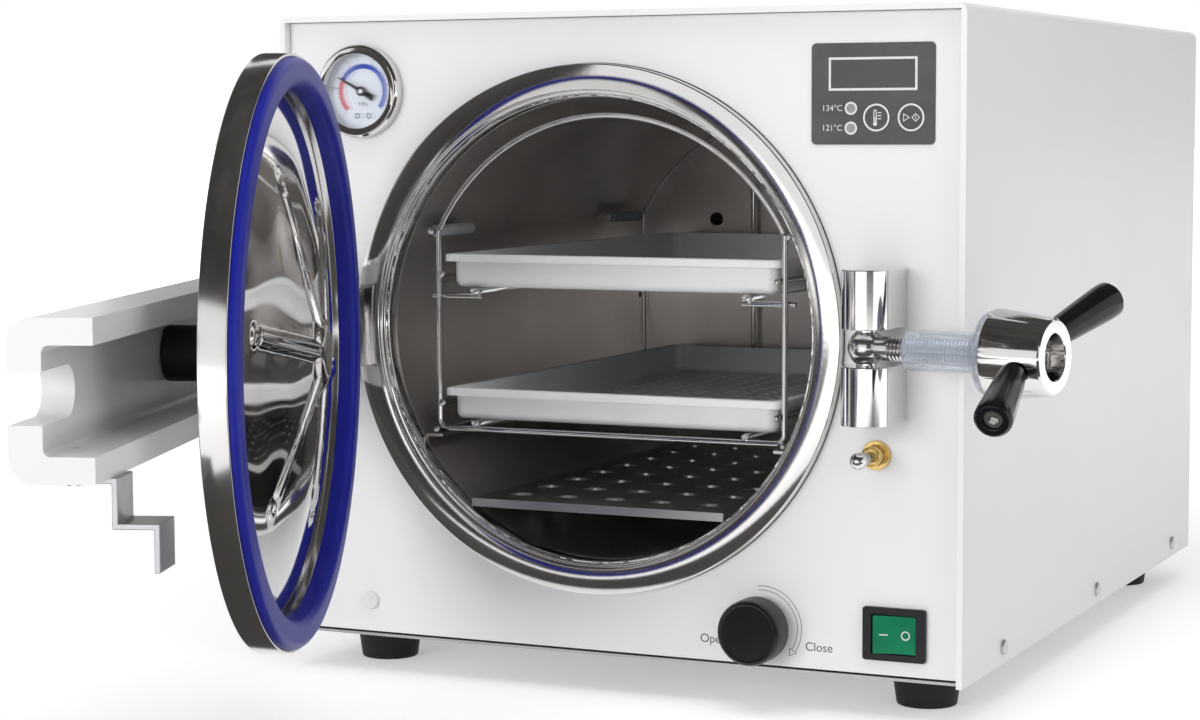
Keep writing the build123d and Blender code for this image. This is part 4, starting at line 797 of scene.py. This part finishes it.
class Print:
    """Flat printed shapes gathered into one mesh."""

    def __init__(self, centre):
        self.bm = bmesh.new()
        self.centre = Vector(centre)
        self.layer = 0

    def add(self, part, turn=0.0, place=(0.0, 0.0)):
        """Adds a bmesh drawn about the middle, turned anticlockwise and moved."""
        self.layer = (self.layer + 1) % PRINT_LAYERS
        spot = (place[0], -self.layer * LAYER_GAP, place[1])
        matrix = Matrix.Translation(spot) @ Matrix.Rotation(-radians(turn), 4, "Y")
        mesh = bpy.data.meshes.new("print_part")
        placed(part, matrix).to_mesh(mesh)
        part.free()
        self.bm.from_mesh(mesh)
        bpy.data.meshes.remove(mesh)

    def arc(self, inner, outer, start, sweep, place=(0.0, 0.0), steps=48):
        """A flat band round a point, from an angle and through another, in degrees."""
        part = bmesh.new()
        verts, edges = chain(part, [(inner, 0, 0), (outer, 0, 0)], False)
        bmesh.ops.spin(part, geom=verts + edges, cent=(0, 0, 0), axis=(0, -1, 0), angle=radians(sweep),
                       steps=steps, use_merge=abs(sweep) >= 360, use_duplicate=False)
        self.add(part, start, place)

    def bar(self, start, end, width):
        """A straight stroke between two points."""
        run = Vector((end[0] - start[0], 0, end[1] - start[1]))
        part = flat_square(0.5)
        bmesh.ops.scale(part, vec=(run.length + width, width, 1), verts=part.verts)
        bmesh.ops.rotate(part, cent=(0, 0, 0), matrix=Matrix.Rotation(pi / 2, 3, "X"), verts=part.verts)
        turn = Vector((1, 0)).angle_signed(Vector((run.x, run.z)), 0.0)
        middle = ((start[0] + end[0]) / 2, (start[1] + end[1]) / 2)
        self.add(part, -turn * 180 / pi, middle)

    def outline(self, points, width):
        """A stroke along the inside of a closed shape, with mitred corners."""
        part = bmesh.new()
        edges = chain(part, [(x, 0, z) for x, z in points], True)[1]
        faces = bmesh.ops.contextual_create(part, geom=edges)["faces"]
        bmesh.ops.inset_region(part, faces=faces, thickness=width, use_boundary=True, use_even_offset=True)
        bmesh.ops.delete(part, geom=faces, context="FACES_ONLY")
        self.add(part)

    def words(self, text, height, place):
        """A line of letters centred on a place."""
        curve = bpy.data.curves.new("letters", "FONT")
        curve.body = text
        curve.size = height
        curve.align_x = "CENTER"
        curve.align_y = "CENTER"
        holder = linked("letters", curve)
        graph = bpy.context.evaluated_depsgraph_get()
        mesh = bpy.data.meshes.new_from_object(holder.evaluated_get(graph))
        part = bmesh.new()
        part.from_mesh(mesh)
        bmesh.ops.rotate(part, cent=(0, 0, 0), matrix=Matrix.Rotation(pi / 2, 3, "X"), verts=part.verts)
        self.add(part, 0.0, place)
        bpy.data.objects.remove(holder)
        bpy.data.curves.remove(curve)
        bpy.data.meshes.remove(mesh)

    def finish(self, name, ink="ink", body="cabinet", slot="dial_white", matrix=None):
        """The whole print as one piece in its place."""
        bmesh.ops.translate(self.bm, verts=self.bm.verts, vec=self.centre)
        if matrix:
            placed(self.bm, matrix)
        wrong = [face for face in self.bm.faces if face.normal.y > 0]
        bmesh.ops.reverse_faces(self.bm, faces=wrong)
        settle(object_from(self.bm, name), body, finishes[ink])


class GaugeOperator(bpy.types.Operator):
    """Makes the pressure gauge with its printed dial"""

    bl_idname = "autoclave.gauge"
    bl_label = "Gauge"

    def execute(self, context):
        settle_copy("gauge_bezel", "polished", "polished_steel", 0.0005)
        settle_copy("gauge_lens", "lens", "clear_glass")
        settle_copy("gauge_needle", "pointer", "pointer_black", body="needle")
        dress("gauge_dial", "dial")
        dial = middle_of("gauge_dial")
        dial.y = box_of("gauge_dial")[0].y - 2 * CLOSE_GAP
        first, last, divisions = 227, -40, 25
        band = (12.2 * MM, 14.8 * MM)
        blue_sweep = 192
        for ink, start, sweep in (("blue", last, blue_sweep), ("red", last + blue_sweep, 75)):
            drawn = Print(dial)
            drawn.arc(*band, start, sweep)
            drawn.finish(f"dial_{ink}_band", f"{ink}_ink")
        marks = Print(dial)
        for index in range(divisions + 1):
            angle = first + (last - first) * index / divisions
            long_mark = index % 5 == 0
            ray = Vector((cos(radians(angle)), sin(radians(angle))))
            reach = (16.6 if long_mark else 15.9) * MM
            marks.bar(tuple(ray * 15.0 * MM), tuple(ray * reach), (0.3 if long_mark else 0.16) * MM)
            if long_mark:
                figure = f"{index * 0.02 - 0.1:.1f}".replace("-0.1", ".1")
                marks.words(figure, 2.1 * MM, tuple(ray * 18.3 * MM))
        marks.words("MPa", 3.2 * MM, (0, -7 * MM))
        for side in (-1, 1):
            marks.arc(0.9 * MM, 1.6 * MM, 0, 360, (side * 3.5 * MM, -13.2 * MM), 24)
        marks.finish("dial_marks", "dark_ink")
        needle_front = middle_of("gauge_dial")
        needle_front.y = box_of("gauge_needle")[0].y - CLOSE_GAP
        cap = Print(needle_front)
        cap.arc(0, 1.2 * MM, 0, 360, (0, 0), 24)
        cap.finish("needle_cap", "dial", "needle")
        return {"FINISHED"}


class ControlsOperator(bpy.types.Operator):
    """Makes the control overlay, its prints, keys, lamps and window"""

    bl_idname = "autoclave.controls"
    bl_label = "Controls"

    def execute(self, context):
        settle_copy("control_overlay", "overlay", "overlay_grey", 0.0002)
        settle_copy("display_window", "smoked", "smoked")
        settle_copy("indicator_lenses", "lamp", "lamp_red", 0.0003)
        for node, body in (("key_mode", "mode_key"), ("key_start", "start_key")):
            settle_copy(node, "key", "key_grey", 0.0003, body)
        window_low, window_high = box_of("display_window")
        window = (window_low + window_high) / 2
        window.y = overlay_face - CLOSE_GAP
        width = window_high.x - window_low.x
        height = window_high.z - window_low.z
        bezel = Print(window)
        line = 1.2 * MM
        left, low = -(width + line) / 2, -(height + line) / 2
        corners = [(left, low), (-left, low), (-left, -low), (left, -low)]
        bezel.outline(corners, line)
        bezel.finish("display_outline")
        self.print_lamps()
        self.print_mode_key()
        self.print_start_key()
        return {"FINISHED"}

    def print_lamps(self):
        """Rings round the two lamps, each with its temperature."""
        low, high = box_of("indicator_lenses")
        radius = (high.x - low.x) / 2
        centre = Vector(((low.x + high.x) / 2, low.y - CLOSE_GAP, (low.z + high.z) / 2))
        rise = (high.z - low.z) / 2 - radius
        rings = Print(centre)
        for side, label in ((1, "134°C"), (-1, "121°C")):
            rings.arc(radius * 0.72, radius * 1.02, 0, 360, (0, side * rise))
            rings.words(label, sizes().label_height, (-9.9 * MM, side * rise))
        rings.finish("lamp_rings")

    def key_print(self, node):
        """A print centred on a key's face, with its ring."""
        low, high = box_of(node)
        centre = (low + high) / 2
        centre.y = low.y - CLOSE_GAP
        drawn = Print(centre)
        cap = (high.x - low.x) / 2 - 1.6 * MM
        drawn.arc(cap - 0.95 * MM, cap, 0, 360)
        return drawn

    def print_mode_key(self):
        """A thermometer: a bulb, a tube and three marks."""
        drawn = self.key_print("key_mode")
        stroke = 0.45 * MM
        drawn.arc(0, 1.0 * MM, 0, 360, (-0.6 * MM, -3.2 * MM), 24)
        drawn.arc(0.4 * MM, 0.85 * MM, 0, 180, (-0.6 * MM, 3.0 * MM), 16)
        for side in (-1, 1):
            x = (-0.6 + side * 0.62) * MM
            drawn.bar((x, -2.6 * MM), (x, 3.0 * MM), stroke)
        drawn.bar((-0.6 * MM, -2.6 * MM), (-0.6 * MM, 0.2 * MM), stroke)
        for row in range(3):
            height = (2.4 - row * 1.5) * MM
            drawn.bar((0.9 * MM, height), (2.4 * MM, height), stroke)
        drawn.finish("mode_key_print", body="mode_key")

    def print_start_key(self):
        """A start triangle beside a stop diamond."""
        drawn = self.key_print("key_start")
        stroke = 0.4 * MM
        triangle = [(-4.0 * MM, -2.1 * MM), (-0.5 * MM, 0.0), (-4.0 * MM, 2.1 * MM)]
        diamond = [(0.2 * MM, 0.0), (2.4 * MM, -2.2 * MM), (4.6 * MM, 0.0), (2.4 * MM, 2.2 * MM)]
        drawn.outline(triangle, stroke)
        drawn.outline(diamond, stroke)
        drawn.bar((2.4 * MM, -0.7 * MM), (2.4 * MM, 0.7 * MM), stroke)
        drawn.finish("start_key_print", body="start_key")


class SwitchesOperator(bpy.types.Operator):
    """Makes the mains rocker, the steam release knob and the words beside it"""

    bl_idname = "autoclave.switches"
    bl_label = "Switches"

    def execute(self, context):
        settle_copy("rocker_frame", "black_matte", "black_matte", 0.0004)
        settle_copy("rocker", "rocker", "rocker_green", 0.0005, "mains_rocker")
        self.print_rocker()
        self.make_knob()
        self.print_words()
        return {"FINISHED"}

    def print_rocker(self):
        """A bar and a ring on the rocker's two faces."""
        joint = joint_named("rocker_tip")
        pivot = Vector(joint["pos_m"])
        tip = joint["range_deg"][0] / -2
        face_slope = 1.4 / 11.0
        face_middle = 5.6 * MM
        face_front = -4.6 * MM - face_middle * face_slope - CLOSE_GAP
        for side, ring in ((-1, False), (1, True)):
            drawn = Print((0, 0, 0))
            if ring:
                drawn.arc(1.75 * MM, 2.35 * MM, 0, 360)
            else:
                drawn.bar((-1.9 * MM, 0), (1.9 * MM, 0), 0.6 * MM)
            slope = turned_about((0, 0, 0), (0, 0, 1), tip - side * face_slope * 180 / pi)
            local = Vector((side * face_middle, face_front, 0))
            place = pivot + Matrix.Rotation(radians(tip), 3, "Z") @ local
            matrix = Matrix.Translation(place) @ slope
            name = "rocker_off_mark" if ring else "rocker_on_mark"
            drawn.finish(name, body="mains_rocker", matrix=matrix)

    def make_knob(self):
        """A knob with a fine knurl round it and a dished front with a raised lip."""
        low, high = box_of("release_knob")
        radius = (high.x - low.x) / 2
        shaft = 3.0 * MM
        skirt = 16.8 * MM
        back = 24.0 * MM
        notches = 90
        profile = [
            (0, 0.9 * MM),
            (radius - 3.0 * MM, 0.7 * MM),
            (radius - 2.4 * MM, 0.1 * MM),
            (radius - 1.8 * MM, 0.0),
            (radius - 1.0 * MM, 0.5 * MM),
            (radius - 0.6 * MM, 1.4 * MM),
            (radius - 0.1 * MM, 2.4 * MM),
            (radius - 0.1 * MM, 15.6 * MM),
            (radius - 0.9 * MM, skirt),
            (shaft, skirt),
            (shaft, back),
            (0, back),
        ]
        bm = spun(profile, (0, 0, 0), closed=False, steps=2 * notches)
        for vert in bm.verts:
            reach = sqrt(vert.co.x**2 + vert.co.z**2)
            if reach < radius - 0.3 * MM:
                continue
            ray = Vector((vert.co.x, 0, vert.co.z)).normalized()
            step = round(Vector((1, 0)).angle_signed(Vector((ray.x, ray.z)), 0.0) * notches / pi)
            vert.co -= ray * (0.28 * MM if step % 2 else 0.0)
        centre = (low + high) / 2
        bmesh.ops.translate(bm, verts=bm.verts, vec=(centre.x, low.y, centre.z))
        knob = object_from(bm, "release_knob_moulded", 28)
        settle(knob, "steam_knob", finishes["black_gloss"], ["release_knob"])

    def print_words(self):
        """Open and Close, and an arrow round the knob between them."""
        knob = middle_of("release_knob")
        knob.y = panel_face - CLOSE_GAP
        drawn = Print(knob)
        drop = -8.4 * MM
        drawn.words("Open", sizes().word_height, (-27.3 * MM, drop))
        drawn.words("Close", sizes().word_height, (30.8 * MM, drop))
        line = 0.3 * MM
        tail, tip = -33, -44
        for radius in (19.0 * MM, 21.2 * MM):
            drawn.arc(radius, radius + line, tail, 130, (0, 0), 64)
        head = []
        for radius, angle in ((17.6, tail), (20.2, tip), (22.6, tail)):
            head.append((radius * cos(radians(angle)) * MM, radius * sin(radians(angle)) * MM))
        drawn.outline(head, line)
        drawn.finish("knob_words", "dark_ink", slot="pointer_black")


class RearOperator(bpy.types.Operator):
    """Makes the mains inlet, the fuse caps, the drain nozzle and the safety valve"""

    bl_idname = "autoclave.rear"
    bl_label = "Rear fittings"

    def execute(self, context):
        for node in ("power_inlet", "fuse_holders"):
            settle_copy(node, "black_matte", "black_matte", 0.0004)
        settle_copy("drain_nozzle", "brass", "brass", 0.0002)
        settle_copy("safety_valve", "brass", "brass", 0.0004)
        settle_copy("safety_pull", "zinc", "zinc_steel", body="valve_pull")
        return {"FINISHED"}


class StageOperator(bpy.types.Operator):
    """Sets the floor, the lights, the dark cards and the camera"""

    bl_idname = "autoclave.stage"
    bl_label = "Stage"

    def execute(self, context):
        self.make_floor()
        self.make_world()
        self.make_lamps()
        self.make_cards()
        self.make_camera()
        bpy.context.scene.view_settings.view_transform = "Standard"
        return {"FINISHED"}

    def make_floor(self):
        """A wide pale floor that the camera sees a little brighter, with the shadow kept."""
        floor = object_from(flat_square(30.0), "floor")
        material, tree, shader = new_material("floor_white", (0.86, 0.86, 0.86), 0.9,
                                              Emission_Color=(1, 1, 1, 1))
        distance = add_node(tree, "VectorMath", {0: stretched_coordinates(tree)})
        distance.operation = "LENGTH"
        fade = add_node(tree, "MapRange", {"Value": distance.outputs["Value"]},
                        From_Min=0.5, From_Max=2.2, To_Min=0.3, To_Max=1.0)
        fade.interpolation_type = "SMOOTHSTEP"
        seen = calculated(tree, "MULTIPLY", fade.outputs["Result"], camera_mask(tree))
        tree.links.new(seen, shader.inputs["Emission Strength"])
        floor.data.materials.append(material)

    def make_world(self):
        """White where it is seen or reflected, and a plain grey light elsewhere."""
        world = bpy.data.worlds.new("studio")
        bpy.context.scene.world = world
        world.use_nodes = True
        tree = world.node_tree
        background = tree.nodes["Background"]
        background.inputs["Color"].default_value = (1, 1, 1, 1)
        ambient = bpy.context.scene.autoclave_studio.ambient
        tree.links.new(span(tree, camera_mask(tree), ambient, 1.0), background.inputs["Strength"])

    def make_lamps(self):
        """Three soft boxes: above, in front and on the right. Metal shows the white studio, not the boxes."""
        look_at = Vector((0, 0, 0.2))
        for name, place, size, power in (
            ("top_box", (0.2, -0.6, 2.4), (2.4, 1.6), 25.0),
            ("front_box", (-0.6, -2.8, 0.6), (1.6, 1.0), 37.0),
            ("right_box", (2.6, -0.8, 1.1), (1.4, 1.6), 15.0),
        ):
            light = bpy.data.lights.new(name, "AREA")
            light.shape = "RECTANGLE"
            light.size, light.size_y = size
            light.energy = power
            lamp = linked(name, light)
            lamp.visible_glossy = False
            turn = (look_at - Vector(place)).to_track_quat("-Z", "Y").to_matrix().to_4x4()
            lamp.matrix_world = Matrix.Translation(place) @ turn

    def make_cards(self):
        """Dark cards round the object, which only polished surfaces show."""
        material, tree, shader = new_material("dark_card", (0.012, 0.012, 0.013), 0.9)
        vector = stretched_coordinates(tree)
        shade_between(tree, shader, noise(tree, vector, 2.0), (0.045, 0.042, 0.038), (0.1, 0.094, 0.088))
        stand = Matrix.Rotation(pi / 2, 4, "X")
        from_middle = 3.0
        # Turn about the upright in degrees, width, lowest and highest point in metres
        cards = (
            (35, 1.6, -0.1, 1.3), (-95, 1.2, 0.2, 2.0), (130, 1.2, -0.1, 1.6),
            (-60, 3.4, 1.3, 3.2), (0, 3.4, 1.3, 3.2), (60, 3.4, 1.3, 3.2), (-170, 1.1, -0.1, 0.9),
            (165, 0.8, 0.3, 2.4), (-145, 0.7, -0.1, 2.0),
        )
        for index, (azimuth, width, low, high) in enumerate(cards):
            turn = Matrix.Rotation(radians(azimuth), 4, "Z")
            place = turn @ Matrix.Translation((0, -from_middle, (low + high) / 2)) @ stand
            self.make_card(f"dark_card_{index}", (width, high - low), place, material)
        near_left = Matrix.Translation((mouth.x - 0.585, panel_face - 0.8, 0.3)) @ stand
        self.make_card("dark_card_near", (0.42, 0.6), near_left, material)
        self.make_card("dark_card_roof", (7.0, 7.0), Matrix.Translation((0, 0, 3.3)), material)
        for name, size, x, y in (
            ("foot", (1.2, 0.35), mouth.x - 0.3, panel_face - 0.33),
            ("left", (1.8, 1.7), mouth.x - 1.3, panel_face - 1.35),
            ("right", (1.3, 1.0), mouth.x + 0.95, panel_face - 0.65),
        ):
            self.make_card(f"dark_card_{name}", size, Matrix.Translation((x, y, 0.002)), material)

    def make_card(self, name, size, matrix, material):
        """One card, hidden from the camera and from the light."""
        bm = flat_square(0.5)
        bmesh.ops.scale(bm, vec=(*size, 1), verts=bm.verts)
        card = object_from(placed(bm, matrix), name)
        card.data.materials.append(material)
        for ray in ("camera", "diffuse", "transmission", "shadow"):
            setattr(card, "visible_" + ray, False)

    def make_camera(self):
        """A long lens at the photograph's place."""
        studio = bpy.context.scene.autoclave_studio
        camera = bpy.data.cameras.new("camera")
        camera.lens = studio.focal
        camera.sensor_width = 36.0
        camera.clip_end = 100.0
        seen = linked("camera", camera)
        foot = Vector(((panel_low.x + panel_high.x) / 2, panel_face, 0))
        turn = Matrix.Rotation(radians(studio.azimuth), 4, "Z")
        tilt = Matrix.Rotation(radians(90 - studio.drop), 4, "X")
        roll = Matrix.Rotation(radians(studio.roll), 4, "Z")
        seen.matrix_world = Matrix.Translation(foot + Vector(studio.from_panel)) @ turn @ tilt @ roll
        bpy.context.scene.camera = seen


def camera_mask(tree):
    """One for rays that are seen, reflected or seen through glass, and zero for light."""
    path = tree.nodes.new("ShaderNodeLightPath")
    total = path.outputs["Is Camera Ray"]
    for name in ("Is Glossy Ray", "Is Transmission Ray"):
        total = calculated(tree, "MAXIMUM", total, path.outputs[name])
    return total


OPERATORS = (
    FinishesOperator, InnerWorksOperator, CaseOperator, ChamberOperator, RackOperator, LidOperator,
    DoorOperator, ClampOperator, GaugeOperator, ControlsOperator, SwitchesOperator, RearOperator,
    StageOperator,
)


class AutoclavePanel(bpy.types.Panel):
    """Lists the steps that build the autoclave"""

    bl_idname = "VIEW3D_PT_autoclave"
    bl_label = "Autoclave"
    bl_space_type = "VIEW_3D"
    bl_region_type = "UI"
    bl_category = "Autoclave"

    def draw(self, context):
        layout = self.layout
        for operator in OPERATORS:
            layout.operator(operator.bl_idname)
        for group in ("autoclave_colours", "autoclave_sizes", "autoclave_studio"):
            settings = getattr(context.scene, group)
            column = layout.column()
            for name in settings.bl_rna.properties.keys():
                if name not in ("rna_type", "name"):
                    column.prop(settings, name)


GROUPS = {
    "autoclave_colours": AutoclaveColours,
    "autoclave_sizes": AutoclaveSizes,
    "autoclave_studio": AutoclaveStudio,
}


def register():
    """Registers the settings, the operators and the panel."""
    for name, group in GROUPS.items():
        bpy.utils.register_class(group)
        setattr(bpy.types.Scene, name, bpy.props.PointerProperty(type=group))
    for item in OPERATORS + (AutoclavePanel,):
        bpy.utils.register_class(item)


def unregister():
    """Takes back what register added."""
    for item in reversed(OPERATORS + (AutoclavePanel,)):
        bpy.utils.unregister_class(item)
    for name, group in GROUPS.items():
        delattr(bpy.types.Scene, name)
        bpy.utils.unregister_class(group)


def main():
    """Builds everything in order."""
    register()
    for operator in OPERATORS:
        group, name = operator.bl_idname.split(".")
        getattr(getattr(bpy.ops, group), name)()


if __name__ == "__main__":
    main()
